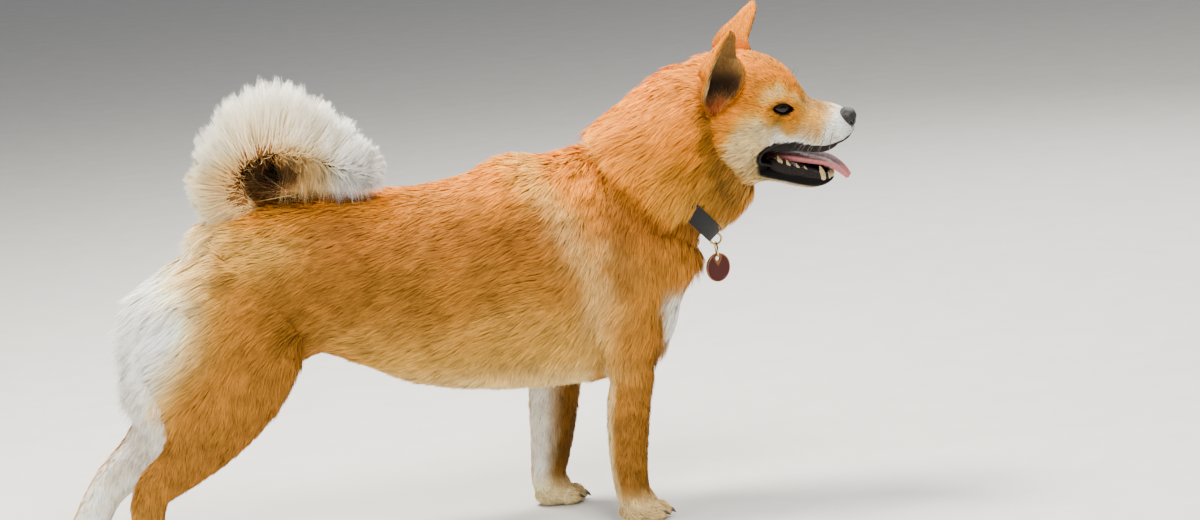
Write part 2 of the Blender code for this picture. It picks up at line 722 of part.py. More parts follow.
def ear(name, side, scratch):
    """One pricked ear: a cupped leaf from the front rim round the back to the rear rim."""
    place = head_matrix()
    bm = bmesh.new()
    rows = []
    for stations in EAR:
        front, back, rear = (mirrored(point, side) for point in stations)
        back = back.lerp(front + (rear - front) * 0.3, EAR_SLACK[side])
        pull = 2 * back - (front + rear) / 2
        row = []
        for c in range(EAR_COLUMNS + 1):
            u = c / EAR_COLUMNS
            point = front * (1 - u) ** 2 + pull * 2 * u * (1 - u) + rear * u * u
            row.append(bm.verts.new(place @ point))
        rows.append(row)
    for low, high in zip(rows, rows[1:]):
        for c in range(EAR_COLUMNS):
            bm.faces.new((low[c], low[c + 1], high[c + 1], high[c]))
    shell = new_object(name, bm, scratch)
    wall = shell.modifiers.new("wall", "SOLIDIFY")
    wall.thickness = EAR_THICKNESS * MM
    wall.offset = 0
    wall.use_even_offset = False
    apply_modifiers(shell)
    return shell


# ---------------------------------------------------------------- tail
def tail_frames():
    """The tail's stations: place, direction of travel and the outward side of the curl."""
    frames = []
    count = len(TAIL)
    points = [Vector((x, TAIL_SIDE - TAIL_DRIFT * i / (count - 1), z)) for i, (x, z, *_) in
              enumerate(TAIL)]
    for i, point in enumerate(points):
        run = (points[min(i + 1, count - 1)] - points[max(i - 1, 0)]).normalized()
        across = Vector((0, 1, 0))
        out = run.cross(across).normalized() * -1
        if out.dot(Vector((-run.z, 0, run.x))) < 0:
            out = -out
        frames.append((point, run, out, run.cross(out).normalized()))
    return frames


def tail_brush(name, share, scratch):
    """A smooth brush round the curl, reaching a share of the hair's length."""
    rings = []
    for (point, _, out, across), (_, _, core, outward, side, inward) in zip(tail_frames(), TAIL):
        rings.append([p * MM for p in egg(point, across, out, core + (side - core) * share,
                                          core + (outward - core) * share,
                                          core + (inward - core) * share, 1.0, TAIL_SIDES)])
    return loft(name, rings, scratch)


def lock(root, bend, tip, broad, width, thickness, scratch):
    """A flat tapered lock of hair from a sunk root over a bend to its tip (millimetres)."""
    bm = bmesh.new()
    rings = []
    for share, swell in LOCK_RINGS:
        here = root.lerp(bend, share).lerp(bend.lerp(tip, share), share)
        run = (bend.lerp(tip, share) - root.lerp(bend, share)).normalized()
        side = (broad - run * broad.dot(run)).normalized()
        face = run.cross(side)
        half, deep = side * width * swell / 2, face * thickness * swell / 2
        rings.append([bm.verts.new(p * MM) for p in (here + half, here + deep, here - half, here - deep)])
    for low, high in zip(rings, rings[1:]):
        for k in range(4):
            n = (k + 1) % 4
            bm.faces.new((low[k], low[n], high[n], high[k]))
    end = bm.verts.new(tip * MM)
    for k in range(4):
        bm.faces.new((rings[-1][k], rings[-1][(k + 1) % 4], end))
    bm.faces.new(rings[0])
    return new_object("lock", bm, scratch)


def coat_locks(obj, rows, scratch):
    """Locks rooted in an object's surface: each row is where to look from, where to, how they lie."""
    dice = random.Random(obj.name)
    tree = BVHTree.FromObject(obj, bpy.context.evaluated_depsgraph_get())
    pieces = []
    for start, aim, lie, length, width, lift in rows:
        start, aim, lie = Vector(start), Vector(aim).normalized(), Vector(lie).normalized()
        hit, normal = tree.ray_cast(start * MM, aim)[:2]
        if hit is None:
            continue
        lie = (lie - normal * lie.dot(normal)).normalized()
        lie = Matrix.Rotation(math.radians(dice.uniform(-9, 9)), 3, normal) @ lie
        long = length * dice.uniform(0.9, 1.1)
        root = hit / MM - normal * LOCK_SINK - lie * long * 0.15
        tip = hit / MM + lie * long * 0.9 + normal * lift * dice.uniform(0.8, 1.2)
        middle = hit / MM + lie * long * 0.3 + normal * lift * 0.7
        across = normal.cross(lie)
        pieces.append(lock(root, middle, tip, across, width * dice.uniform(0.9, 1.1),
                           LOCK_THICKNESS, scratch))
    union_all(obj, pieces, scratch)
    keep_largest(obj)


def breeches(leg_piece, side, back, scratch):
    """The long hair behind one thigh, in rows that hang back and down over each other."""
    rows = []
    for r in range(BREECHES_ROWS):
        z = BREECHES_TOP - r * BREECHES_STEP
        for k in range(BREECHES_ACROSS):
            shift = (k - (BREECHES_ACROSS - 1) / 2) + (0.25 if r % 2 else -0.25)
            y = side * BREECHES_MIDDLE + shift * BREECHES_SPACING
            rows.append(((back - 120, y, z - 4 * abs(shift)), (1, 0, 0), (-0.75, 0.1 * shift, -0.65),
                         BREECHES_LENGTH, BREECHES_WIDTH, BREECHES_LIFT))
    coat_locks(leg_piece, rows, scratch)


def ruff(nape, scratch):
    """The thick hair of the nape, which ends in a fringe over the withers."""
    place = collar_matrix()
    rows = []
    for k in range(RUFF_LOCKS):
        angle = math.radians((k - (RUFF_LOCKS - 1) / 2) * RUFF_STEP)
        out = Vector((0, math.sin(angle), math.cos(angle)))
        start = place @ (Vector((RUFF_AHEAD + (6 if k % 2 else 0), 0, 0)) + out * 150) / MM
        rows.append((start, place.to_3x3() @ -out, place.to_3x3() @ Vector((-1, 0, 0)),
                     RUFF_LENGTH, RUFF_WIDTH, RUFF_LIFT))
    coat_locks(nape, rows, scratch)


def tail_locks(scratch):
    """Rows of locks fanned out round the curl, each leaning towards the tip of the tail."""
    dice = random.Random(SEED)
    frames = tail_frames()
    pieces = []
    for row in range(TAIL_LOCK_ROWS):
        for k, (start, end) in enumerate(TAIL_LOCK_ANGLES):
            at = 0.6 + (len(TAIL) - 2.6) * (row + (0.5 if k % 2 else 0)) / (TAIL_LOCK_ROWS - 0.5)
            low = min(int(at), len(TAIL) - 2)
            share = at - low
            point, run, out, across = (a.lerp(b, share) for a, b in zip(frames[low], frames[low + 1]))
            sizes = [a + (b - a) * share for a, b in zip(TAIL[low], TAIL[low + 1])]
            core, outward, side, inward = sizes[2:]
            start = math.radians(start + dice.uniform(-7, 7))
            end = math.radians(end + dice.uniform(-7, 7))

            def reach(angle, hair):
                tall = outward if math.sin(angle) > 0 else inward
                wide = core + (side - core) * hair
                high = core + (tall - core) * hair
                return across * wide * math.cos(angle) + out * high * math.sin(angle)

            length = dice.uniform(0.93, 1.06)
            root = point + reach(start, TAIL_CORE) * 0.7 - run * 8
            tip = point + reach(end, 1.0) * length + run * dice.uniform(4, 16)
            middle = (root + tip) / 2 + reach(start, 0.9) * 0.12 - run * 7
            width = TAIL_LOCK_WIDTH * dice.uniform(0.85, 1.15) * (0.55 + 0.45 * side / 48)
            pieces.append(lock(root, middle, tip, run, width, LOCK_THICKNESS, scratch))
    return pieces


# ---------------------------------------------------------------- collar, ring, tag
def collar_matrix():
    """The collar's own frame: X along the neck, Z up across it."""
    place = Matrix.Translation(Vector((COLLAR_POINT[0], 0, COLLAR_POINT[1])) * MM)
    return place @ Matrix.Rotation(-math.radians(COLLAR_PITCH), 4, "Y") @ Matrix.Scale(MM, 4)


def band(name, scratch):
    """A flat web bent into the neck's section."""
    place = collar_matrix()
    steps = 30
    half, above, below = COLLAR_SECTION
    bm = bmesh.new()
    rows = []
    for k in range(steps):
        angle = 2 * math.pi * k / steps
        reach = above if math.sin(angle) > 0 else below
        middle = Vector((0, half * math.cos(angle), reach * math.sin(angle)))
        out = Vector((0, math.cos(angle) / half, math.sin(angle) / reach)).normalized()
        row = []
        for along, off in ((-1, -1), (1, -1), (1, 1), (-1, 1)):
            x = along * COLLAR_WIDTH / 2
            lift = off * COLLAR_THICKNESS / 2
            row.append(bm.verts.new(place @ (middle + Vector((x, 0, 0)) + out * lift)))
        rows.append(row)
    for k in range(steps):
        low, high = rows[k], rows[(k + 1) % steps]
        for c in range(4):
            n = (c + 1) % 4
            bm.faces.new((low[c], low[n], high[n], high[c]))
    return new_object(name, bm, scratch)


def torus(name, centre, axis, radius, wire, scratch, major=18, minor=5):
    """A ring of round wire, centre and sizes in millimetres, square to an axis."""
    turn = Vector(axis).to_track_quat("Z", "Y").to_matrix().to_4x4()
    place = Matrix.Scale(MM, 4) @ Matrix.Translation(Vector(centre)) @ turn
    bm = bmesh.new()
    rows = []
    for k in range(major):
        angle = 2 * math.pi * k / major
        spoke = Vector((math.cos(angle), math.sin(angle), 0))
        row = []
        for j in range(minor):
            lean = 2 * math.pi * j / minor
            point = spoke * (radius + wire * math.cos(lean)) + Vector((0, 0, wire * math.sin(lean)))
            row.append(bm.verts.new(place @ point))
        rows.append(row)
    for k in range(major):
        low, high = rows[k], rows[(k + 1) % major]
        for j in range(minor):
            n = (j + 1) % minor
            bm.faces.new((low[j], low[n], high[n], high[j]))
    return new_object(name, bm, scratch)


def loop_point():
    """The middle of the metal loop under the collar."""
    low = collar_matrix() @ Vector((0, 0, -COLLAR_SECTION[2] - COLLAR_THICKNESS / 2))
    return low / MM + Vector((0, 0, -LOOP_RADIUS + 1.0))


def collar(scratch):
    web = band("collar", scratch)
    loop = torus("loop", loop_point(), (0, 1, 0), LOOP_RADIUS, LOOP_WIRE, scratch, 12, 5)
    union_all(web, [loop], scratch)
    keep_largest(web)
    return web


def hanging_ring(scratch):
    low = loop_point() - Vector((0, 0, LOOP_RADIUS))
    rest = LOOP_WIRE + RING_WIRE + GAP / MM
    centre = low + Vector((0, 0, rest - RING_RADIUS))
    return torus("collar_ring", centre, (1, 0, 0), RING_RADIUS, RING_WIRE, scratch), centre


def tag(ring_centre, scratch):
    """A plain enamelled disc with a raised rim, hung by its hole from the ring."""
    wire_low = ring_centre - Vector((0, 0, RING_RADIUS))
    hole = wire_low + Vector((0, 0, RING_WIRE + GAP / MM - TAG_HOLE))
    centre = hole - Vector((0, 0, TAG_RADIUS - TAG_HOLE - TAG_MARGIN))
    turn = Matrix.Rotation(math.radians(TAG_TURN), 4, "Z") @ Matrix.Rotation(math.pi / 2, 4, "X")

    def disc(name, radius, depth, spot, sides):
        bm = bmesh.new()
        bmesh.ops.create_cone(bm, cap_ends=True, segments=sides, radius1=radius, radius2=radius,
                              depth=depth)
        place = Matrix.Scale(MM, 4) @ Matrix.Translation(spot) @ turn
        bmesh.ops.transform(bm, matrix=place, verts=bm.verts)
        return new_object(name, bm, scratch)

    body = disc("tag", TAG_RADIUS, TAG_THICKNESS, centre, 24)
    front = turn.to_3x3() @ Vector((0, 0, 1))
    for face in (-1, 1):
        dish = disc("dish", TAG_RADIUS - TAG_RIM, 1.0, centre + front * face * TAG_THICKNESS / 2, 24)
        boss = disc("boss", TAG_HOLE + 1.6, 3.0, hole + front * face * (TAG_THICKNESS / 2), 14)
        boolean(dish, boss, "DIFFERENCE")
        boolean(body, dish, "DIFFERENCE")
    boolean(body, disc("hole", TAG_HOLE, 6.0, hole, 12), "DIFFERENCE")
    keep_largest(body)
    return body


# ---------------------------------------------------------------- parting the body
def block(low, high, frame, swell, scratch):
    """A box between two corners (millimetres) of a frame; swell stands it out on every side."""
    low = Vector(low) * MM - Vector((swell,) * 3)
    high = Vector(high) * MM + Vector((swell,) * 3)
    bm = bmesh.new()
    bmesh.ops.create_cube(bm, size=1)
    size = Matrix.Diagonal((*(high - low), 1))
    place = frame @ Matrix.Translation((low + high) / 2) @ size
    bmesh.ops.transform(bm, matrix=place, verts=bm.verts)
    return new_object("region", bm, scratch)


def plane_frame(point, pitch, yaw=0):
    """A frame at a point, its X turned by yaw about Z and raised by pitch."""
    place = Matrix.Translation(Vector(point) * MM)
    turn = Matrix.Rotation(math.radians(yaw), 4, "Z")
    return place @ turn @ Matrix.Rotation(-math.radians(pitch), 4, "Y")


def unscaled_head_matrix():
    return head_matrix() @ Matrix.Scale(1 / MM, 4)


def part_off(name, body, low, high, frame, scratch):
    """Split the piece inside a region off the body, leaving the thin gap between them."""
    piece = duplicate(body, name, scratch)
    boolean(piece, block(low, high, frame, 0, scratch), "INTERSECT")
    keep_largest(piece)
    boolean(body, block(low, high, frame, GAP, scratch), "DIFFERENCE")
    keep_largest(body)
    return piece


def whole_body(scratch):
    """Torso, neck, skull, jaw, legs and feet melted into one form that stands on flat soles."""
    forms = [torso(scratch), neck(scratch)]
    forms.append(head_form("skull_form", SKULL, scratch))
    forms.append(head_form("jaw_form", LOWER_JAW, scratch))
    legs = {"foreleg_right": RIGHT_FORELEG, "foreleg_left": LEFT_FORELEG,
            "hindleg_right": RIGHT_HINDLEG, "hindleg_left": LEFT_HINDLEG}
    for name, stations in legs.items():
        side = 1 if name.endswith("left") else -1
        forms.append(leg(name + "_form", stations, side, scratch))
        forms.extend(paw(name, scratch))
    body = fuse("body", forms, scratch)
    thin(body)
    floor = block((-900, -400, -200), (900, 400, 0), Matrix.Identity(4), 0, scratch)
    boolean(body, floor, "DIFFERENCE")
    keep_largest(body)
    return body


def open_mouth(body, scratch):
    """Cut the gape and palate, then roll the lips along their edges."""
    tree = BVHTree.FromObject(body, bpy.context.evaluated_depsgraph_get())
    upper = lip("upper_lip", UPPER_LIP, tree, scratch)
    lower = lip("lower_lip", LOWER_LIP, tree, scratch)
    boolean(body, prism("gape", GAPE, 110, scratch), "DIFFERENCE")
    boolean(body, prism("palate", PALATE, PALATE_HALF_WIDTH, scratch), "DIFFERENCE")
    union_all(body, [upper, lower], scratch)
    keep_largest(body)


def seat_eyes(head, finished, scratch):
    """Lids over each eye socket, and the eyes in them."""
    union_all(head, [eyeball("lids", side, LID_THICKNESS * MM, scratch) for side in (-1, 1)], scratch)
    for side in (-1, 1):
        boolean(head, lid_opening(side, scratch), "DIFFERENCE")
        boolean(head, eyeball("socket", side, GAP, scratch), "DIFFERENCE")
        name = "eye_left" if side > 0 else "eye_right"
        finished[name] = (eyeball(name, side, 0, scratch), "eye")
    keep_largest(head)


def seat_nose(head, finished, scratch):
    boolean(head, nose_form(GAP, scratch), "DIFFERENCE")
    keep_largest(head)
    nose = nose_form(0, scratch)
    for side in (-1, 1):
        boolean(nose, nostril(side, scratch), "DIFFERENCE")
    keep_largest(nose)
    finished["nose"] = (nose, "black")


def part_legs(body, finished, scratch):
    still = Matrix.Identity(4)
    point, pitch = HIP_CUT
    hips = plane_frame(point, pitch)
    for side, word in ((-1, "right"), (1, "left")):
        low, high = FORELEG_BOX[word]
        ends = sorted((side * low[1], side * high[1]))
        low = (low[0], ends[0], low[2])
        high = (high[0], ends[1], high[2])
        name = "foreleg_" + word
        finished[name] = (part_off(name, body, low, high, still, scratch), "orange")
        ends = sorted((side * HIP_INNER, side * 160))
        name = "hindleg_" + word
        piece = part_off(name, body, (0, ends[0], -400), (500, ends[1], 400), hips, scratch)
        breeches(piece, side, BREECHES_BACK[word], scratch)
        finished[name] = (piece, "orange")
    for name in PAWS:
        leg_piece = finished[name][0]
        union_all(leg_piece, claws(name, scratch), scratch)
        keep_largest(leg_piece)


def dog(scratch):
    """Every finished piece with the name of its colour."""
    finished = {}
    body = whole_body(scratch)
    open_mouth(body, scratch)
    point, pitch, yaw = HEAD_CUT
    reach = ((0, -300, -300), (400, 300, 300))
    head = part_off("head", body, *reach, plane_frame(point, pitch, yaw), scratch)
    jaw = part_off("lower_jaw", head, *JAW_CUT, unscaled_head_matrix(), scratch)
    collar_plane = plane_frame((COLLAR_POINT[0], 0, COLLAR_POINT[1]), COLLAR_PITCH)
    nape = part_off("neck", body, *reach, collar_plane, scratch)
    part_legs(body, finished, scratch)
    seat_eyes(head, finished, scratch)
    seat_nose(head, finished, scratch)

    union_all(jaw, lower_teeth(scratch), scratch)
    keep_largest(jaw)
    lick = tongue(scratch)
    clear_of(lick, [jaw, head], scratch)
    for side, word in ((-1, "right"), (1, "left")):
        centre, radii = EAR_SCOOP
        boolean(head, scoop(mirrored(centre, side), radii, scratch), "DIFFERENCE")
        keep_largest(head)
        shell = ear("ear_" + word, side, scratch)
        clear_of(shell, [head, nape], scratch)
        finished[shell.name] = (shell, "orange")

    ruff(nape, scratch)
    web = collar(scratch)
    clear_of(nape, [web], scratch, "MANIFOLD")
    clear_of(body, [web], scratch, "MANIFOLD")
    ring, ring_centre = hanging_ring(scratch)
    brush = tail_brush("tail", TAIL_CORE, scratch)
    union_all(brush, tail_locks(scratch), scratch)
    keep_largest(brush)
    clear_of(brush, [body], scratch)
    body.name = "torso"
    finished.update({
        "torso": (body, "orange"), "neck": (nape, "orange"), "head": (head, "orange"),
        "lower_jaw": (jaw, "cream"), "tongue": (lick, "pink"), "tail": (brush, "cream"),
        "collar": (web, "web"), "collar_ring": (ring, "brass"),
        "tag": (tag(ring_centre, scratch), "maroon"),
    })
    return finished


def main():
    for obj in list(bpy.data.objects):
        bpy.data.objects.remove(obj, do_unlink=True)
    scene = bpy.context.scene
    scratch = bpy.data.collections.new("scratch")
    animal = bpy.data.collections.new("shiba_inu")
    scene.collection.children.link(scratch)
    scene.collection.children.link(animal)
    materials = {name: make_material(name) for name in SKIN_COLOURS}
    for name, (obj, colour) in dog(scratch).items():
        obj.name = name
        obj.data.name = name
        obj.data.transform(Matrix.Translation((ORIGIN_X, 0, 0)))
        obj.data.materials.clear()
        obj.data.materials.append(materials[colour])
        scratch.objects.unlink(obj)
        animal.objects.link(obj)
        obj.data.shade_smooth()
        obj.data.set_sharp_from_angle(angle=math.radians(50))
    bpy.data.collections.remove(scratch)


main()
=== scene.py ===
"""A standing shiba inu with a curled tail, open mouth, collar and tag, dressed over its frame.

Millimetres are used throughout, in the dog's own axes (X forward, Y to its left, Z up), and are
turned into metres where a mesh is made. One skin carries the markings, with painted shade in
places. The coat over it is made of flat tapered tufts that follow the lie of the hair and carry
the same markings, their roots darkened as painted shade.
"""

import logging
import math
from collections.abc import Sequence
from dataclasses import dataclass, field
from enum import Enum

import bmesh
import bpy
import numpy as np
from mathutils import Matrix, Vector
from mathutils.bvhtree import BVHTree


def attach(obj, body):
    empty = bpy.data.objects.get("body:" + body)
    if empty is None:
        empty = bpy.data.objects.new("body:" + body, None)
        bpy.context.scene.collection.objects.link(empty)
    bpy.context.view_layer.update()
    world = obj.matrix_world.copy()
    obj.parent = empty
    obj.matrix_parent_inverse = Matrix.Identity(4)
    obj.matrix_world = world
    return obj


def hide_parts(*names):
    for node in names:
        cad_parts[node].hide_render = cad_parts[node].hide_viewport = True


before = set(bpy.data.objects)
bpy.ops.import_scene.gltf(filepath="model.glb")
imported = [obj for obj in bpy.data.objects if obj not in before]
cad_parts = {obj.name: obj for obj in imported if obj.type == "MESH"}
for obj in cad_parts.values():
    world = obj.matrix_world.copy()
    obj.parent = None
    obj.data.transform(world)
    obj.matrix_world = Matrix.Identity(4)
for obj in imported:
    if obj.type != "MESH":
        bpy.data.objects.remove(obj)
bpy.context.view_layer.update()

log = logging.getLogger("shiba")

Array = np.ndarray
Row = Sequence[float]
Table = Sequence[Row]
Colour = Place = tuple[float, float, float]
Piece = bpy.types.Object
Mesh = bpy.types.Mesh
Material = bpy.types.Material
Socket = bpy.types.NodeSocket

MM = 0.001
ORIGIN = np.array((7.5, 0.0, 0.0))  # the tables' zero lies this far behind the middle of the dog
SEED = 11
TUFT_SHARE = 1.0

# ---------------------------------------------------------------- sizes of the body's forms
# x, top, bottom, half width, height of the widest line
TORSO = (
    (-306, 318, 262, 22, 292), (-296, 336, 238, 50, 288), (-280, 352, 214, 60, 286),
    (-254, 368, 200, 71, 288), (-220, 380, 198, 76, 295), (-180, 381, 200, 73, 292),
    (-148, 381, 203, 69, 285), (-110, 379, 186, 70, 276), (-68, 378, 166, 74, 268),
    (-26, 378, 153, 79, 262), (20, 387, 147, 82, 262), (58, 400, 144, 84, 262),
    (100, 397, 143, 85, 265), (140, 401, 145, 84, 268), (172, 398, 152, 81, 270),
    (205, 382, 166, 77, 268), (230, 350, 186, 64, 265), (246, 312, 215, 44, 262),
    (254, 285, 240, 22, 262),
)
TORSO_COAT = 9.0
COAT_DEPTH = (0.8, 14.0)  # the least and the most that the coat's tips may lie above the skin
# centre x, centre z, pitch of the axis, reach above, reach below, half width
NECK = (
    (160, 312, 38, 60, 90, 78), (188, 338, 38, 66, 92, 77), (205, 352, 38, 82, 94, 76),
    (222, 366, 38, 83, 96, 74), (252, 390, 37, 79, 99, 70), (280, 412, 34, 73, 92, 67),
    (303, 428, 30, 62, 78, 62),
)
NECK_COAT = 12.0
# In the head's frame: x, top, bottom, half width, widest height, fullness, depth of the coat
SKULL = (
    (-52, 470, 392, 42, 430, 1.0, 12), (-28, 482, 366, 62, 422, 1.0, 12),
    (-6, 487, 350, 68, 412, 1.0, 11), (16, 488, 344, 69, 404, 0.98, 9),
    (34, 487, 346, 65, 402, 0.95, 7), (50, 481, 356, 57, 404, 0.92, 5),
    (64, 473, 366, 47, 408, 0.90, 3.6), (76, 461, 374, 38, 408, 0.88, 3.0),
    (86, 445, 376, 32, 404, 0.86, 2.6), (94, 431, 374, 28.5, 400, 0.84, 2.2),
    (106, 426, 373, 26.5, 398, 0.82, 2.0), (119, 422.5, 374, 24.5, 396, 0.82, 1.8),
    (129, 418, 377, 21.5, 396, 0.82, 1.5), (136, 412, 380.5, 17.5, 396, 0.85, 1.2),
    (140.5, 405, 386, 11, 396, 0.9, 1.0),
)
LOWER_JAW = (
    (14, 384, 345, 46, 364, 1.0, 4), (32, 378, 343, 43, 360, 1.0, 3),
    (50, 369.5, 345, 36, 357, 0.95, 1.6), (66, 362, 339, 29, 351, 0.92, 1.2),
    (84, 354.5, 333.5, 24, 345, 0.90, 1.2), (100, 349, 333, 20, 342, 0.90, 1.2),
    (109, 346, 336, 15, 341, 0.95, 1.0), (114.5, 344, 340, 7, 342, 1.0, 0.8),
)
HEAD_PIVOT = (294.0, 0.0, 428.0)
HEAD_YAW, HEAD_ROLL, HEAD_ZERO_Z = -22.0, 9.0, 430.0
BEYOND_HEAD = 120.0  # to the side, clear of the head
# The open mouth from the side, in the head's frame
GAPE = (
    (46, 370), (45.5, 377), (49, 385), (57, 391), (68, 393), (80, 390), (96, 384.5), (112, 381),
    (124, 383.5), (134, 387), (141, 392), (158, 394), (158, 322), (116, 343.5), (110, 345.5),
    (100, 348.5), (84, 354), (66, 361), (54, 366.5),
)
PALATE = ((58, 386), (66, 399), (90, 396), (118, 390), (126, 388), (126, 378), (58, 378))
GAPE_HALF_WIDTH, PALATE_HALF_WIDTH = 110.0, 15.0
UPPER_LIP = ((47, 371), (46, 377), (49, 385), (57, 391), (68, 393), (80, 390.5), (96, 385),
             (112, 381.5), (124, 384), (132, 386.5), (138, 390))
LOWER_LIP = ((47, 373), (54, 366.5), (66, 361), (84, 354), (100, 348.5), (109, 345.8), (113, 343.5))

EYE_HALF = (10.5, 14.0, 12.0)
EYE_CENTRE = (69.5, 23.0, 429.0)
EYE_OUTWARD, EYE_TILT = 57.0, 14.0
LID_WIDTH, LID_HEIGHT, LID_THICKNESS = 25.0, 10.8, 1.6

# Ear rows from root to tip: front rim, middle of the back and rear rim, each (x, |y|, z)
EAR = (
    ((10, 65, 436), (4, 60, 434), (6, 67, 436)), ((20, 63, 444), (2, 50, 440), (1, 68.5, 444)),
    ((31, 59, 453), (4, 42, 448), (-0.5, 69.5, 452)),
    ((40, 52, 463), (0, 38, 462), (1.5, 69.5, 461)),
    ((41.5, 44, 472), (-5, 42, 471), (5, 69, 470)),
    ((38, 37, 481), (-11, 48, 481), (7.5, 68.5, 478)),
    ((32, 35, 490), (-3, 49, 494), (12.5, 67, 489)),
    ((34, 43, 502), (11, 51, 505), (19, 65.5, 501)),
    ((37, 49.5, 512), (23, 53, 515), (26, 63.5, 511)),
    ((38, 54, 518.5), (31, 55.5, 521), (31, 61.5, 518)),
    ((36, 56, 521.5), (33.5, 57, 522.5), (33.5, 59.5, 521.5)),
)
EAR_FRONT_PULL = {1: (-10.0, -11.0), -1: (0.0, 0.0)}  # of the front rim low down, in x and |y|
EAR_MOUTH = [(row[0][0], row[0][2]) for row in EAR] + [(row[2][0], row[2][2]) for row in EAR[::-1]]
EAR_SLACK = {1: 0.0, -1: 0.24}

NOSE_CENTRE = (134.5, 0.0, 405.8)
NOSE_HALF = (9.6, 12.5, 11.2)
NOSE_TILT = 12.0
# x, z, half width, thickness of the tongue along its length
TONGUE = (
    (44, 368, 16, 12), (58, 371.5, 17, 12), (76, 370, 17, 11), (94, 366, 15.5, 9),
    (108, 362.5, 14.5, 7.5), (117, 357, 13.5, 6.5), (125, 349.5, 11.5, 5.5), (131, 342, 7.5, 4.5),
)
LOWER_CANINE = ((104.5, 12, 348), 10.2, 3.4)
# x, |y|, height of the gum, height and half length of the crown
LOWER_CHEEK_TEETH = ((86.5, 16, 357.5, 3.0, 1.9), (78.5, 18.5, 360, 4.7, 2.5),
                     (69, 21.5, 364.8, 5.6, 2.8), (60.5, 24, 370, 6.8, 3.5))
# x, |y|, top and bottom of the gums' ridges
UPPER_GUM = ((50, 27, 388, 382), (60, 26, 394, 381.5), (72, 24, 394, 380.5), (86, 20, 391, 378.5),
             (98, 17.5, 388, 376), (110, 15.5, 385, 375), (118, 11, 385, 377), (121, 5, 386, 379))
LOWER_GUM = ((52, 25, 374, 360), (60.5, 24, 371.5, 356), (69, 21.5, 366, 352),
             (78.5, 18.5, 361, 350), (86.5, 16, 358, 346), (96, 13.5, 353, 342),
             (104, 11, 350.5, 340), (109, 5, 348.5, 339))

# x, z, half length fore and aft, half width, |y|
LEGS = {
    "foreleg_right": (
        (150, 305, 50, 26, 50), (168, 258, 52, 30, 57), (170, 212, 43, 30, 61),
        (166, 178, 31, 25, 62), (165, 155, 26, 21.5, 62), (159, 119, 25, 19.5, 62),
        (155.5, 80, 22.5, 17.5, 62), (154.5, 56, 20.5, 17.5, 62), (156, 34, 19, 18, 62),
        (161, 16, 22, 20, 62),
    ),
    "foreleg_left": (
        (140, 305, 50, 26, 50), (122, 255, 52, 30, 57), (104, 205, 45, 30, 61),
        (98, 170, 36, 25, 62), (96, 148, 32, 21.5, 62), (89, 95, 27, 19, 62),
        (83, 60, 23, 17.5, 62), (79, 36, 20, 18, 62), (82, 16, 22, 20, 62),
    ),
    "hindleg_right": (
        (-226, 312, 60, 32, 42), (-244, 272, 78, 38, 46), (-254, 230, 82, 39, 50),
        (-266, 186, 66, 33, 54), (-286, 147, 44, 25, 57), (-314, 117, 29, 20, 58),
        (-342, 97, 23, 17.5, 58), (-354, 76, 20.5, 16, 58), (-356, 52, 18.5, 15.5, 58),
        (-355, 30, 18, 17, 58), (-348, 15, 21, 19, 58),
    ),
    "hindleg_left": (
        (-230, 312, 60, 32, 42), (-251, 272, 76, 38, 46), (-271, 230, 86, 39, 50),
        (-294, 186, 70, 33, 54), (-320, 147, 46, 25, 57), (-351, 115, 29, 20, 58),
        (-386, 86, 23, 17.5, 58), (-404, 66, 20.5, 16, 58), (-418, 44, 19.5, 15.5, 58),
        (-430, 24, 18, 17, 58), (-430, 14, 20, 18, 58),
    ),
}
LEG_COAT = (8.0, 2.0)  # depth of the coat at the top and at the foot
# x, y, half length, half width of the foot
PAWS = {
    "foreleg_right": (164, -62, 27, 22), "foreleg_left": (87, 62, 27, 22),
    "hindleg_right": (-344, -58, 26, 20), "hindleg_left": (-422, 58, 26, 20),
}
TOES = ((-0.66, 0.35), (-0.24, 0.62), (0.24, 0.62), (0.66, 0.35))
PAW_COAT = 1.6

# Heights, and how far the rump and the chest are drawn in there
RUMP_TRIM = ((288, 306, 331, 352, 370), (0, 15, 27, 16, 0))
CHEST_TRIM = ((172, 195, 230, 250, 268), (0, 12, 15, 8, 0))

# Which way the hair lies on parts of the body, in the dog's frame, and in the head's for the ears
FORELEG_LIE = np.array((-0.18, 0, -1))
HINDLEG_LIE = np.array((-0.35, 0, -1))
BREECHES_LIE = np.array((-0.9, 0, -0.5))
TOE_LIE = np.array((0.9, 0, -0.35))
EAR_LIE = np.array((0.18, 0.0, 1.0))

# Lines of the markings
STREAK = ((230, 296, 341, 388), (146, 141, 114, 86))  # heights, x of the shoulder's pale streak
BREECHES = ((120, 170, 190, 240, 300, 350, 390),  # heights, x of the breeches' front edge
            (-350, -324, -312, -290, -275, -247, -256))
CHEEK = ((0, 20, 40, 60, 72, 80, 98, 110, 120, 130),  # x, height of the pale cheek's upper edge
         (376, 398, 424, 424, 413, 405, 399, 395, 408, 424))
FOLD = ((330, 360, 390, 420, 450), (24, 17, 10, 4, 2))  # heights, x of the fold behind the cheek, where shade is painted
JAW_LINE = ((46, 54, 66, 84, 100, 113), (370, 366, 361, 354, 348, 344))  # x, the lower lip's height
# The pale spots over the eye: place, radius, share
BROW_SPOTS = (((76, 27, 447), 8.5, 0.95), ((68, 36, 446), 7.5, 0.85), ((61, 43, 441), 6, 0.6),
              ((87, 18, 437), 7.5, 0.6))

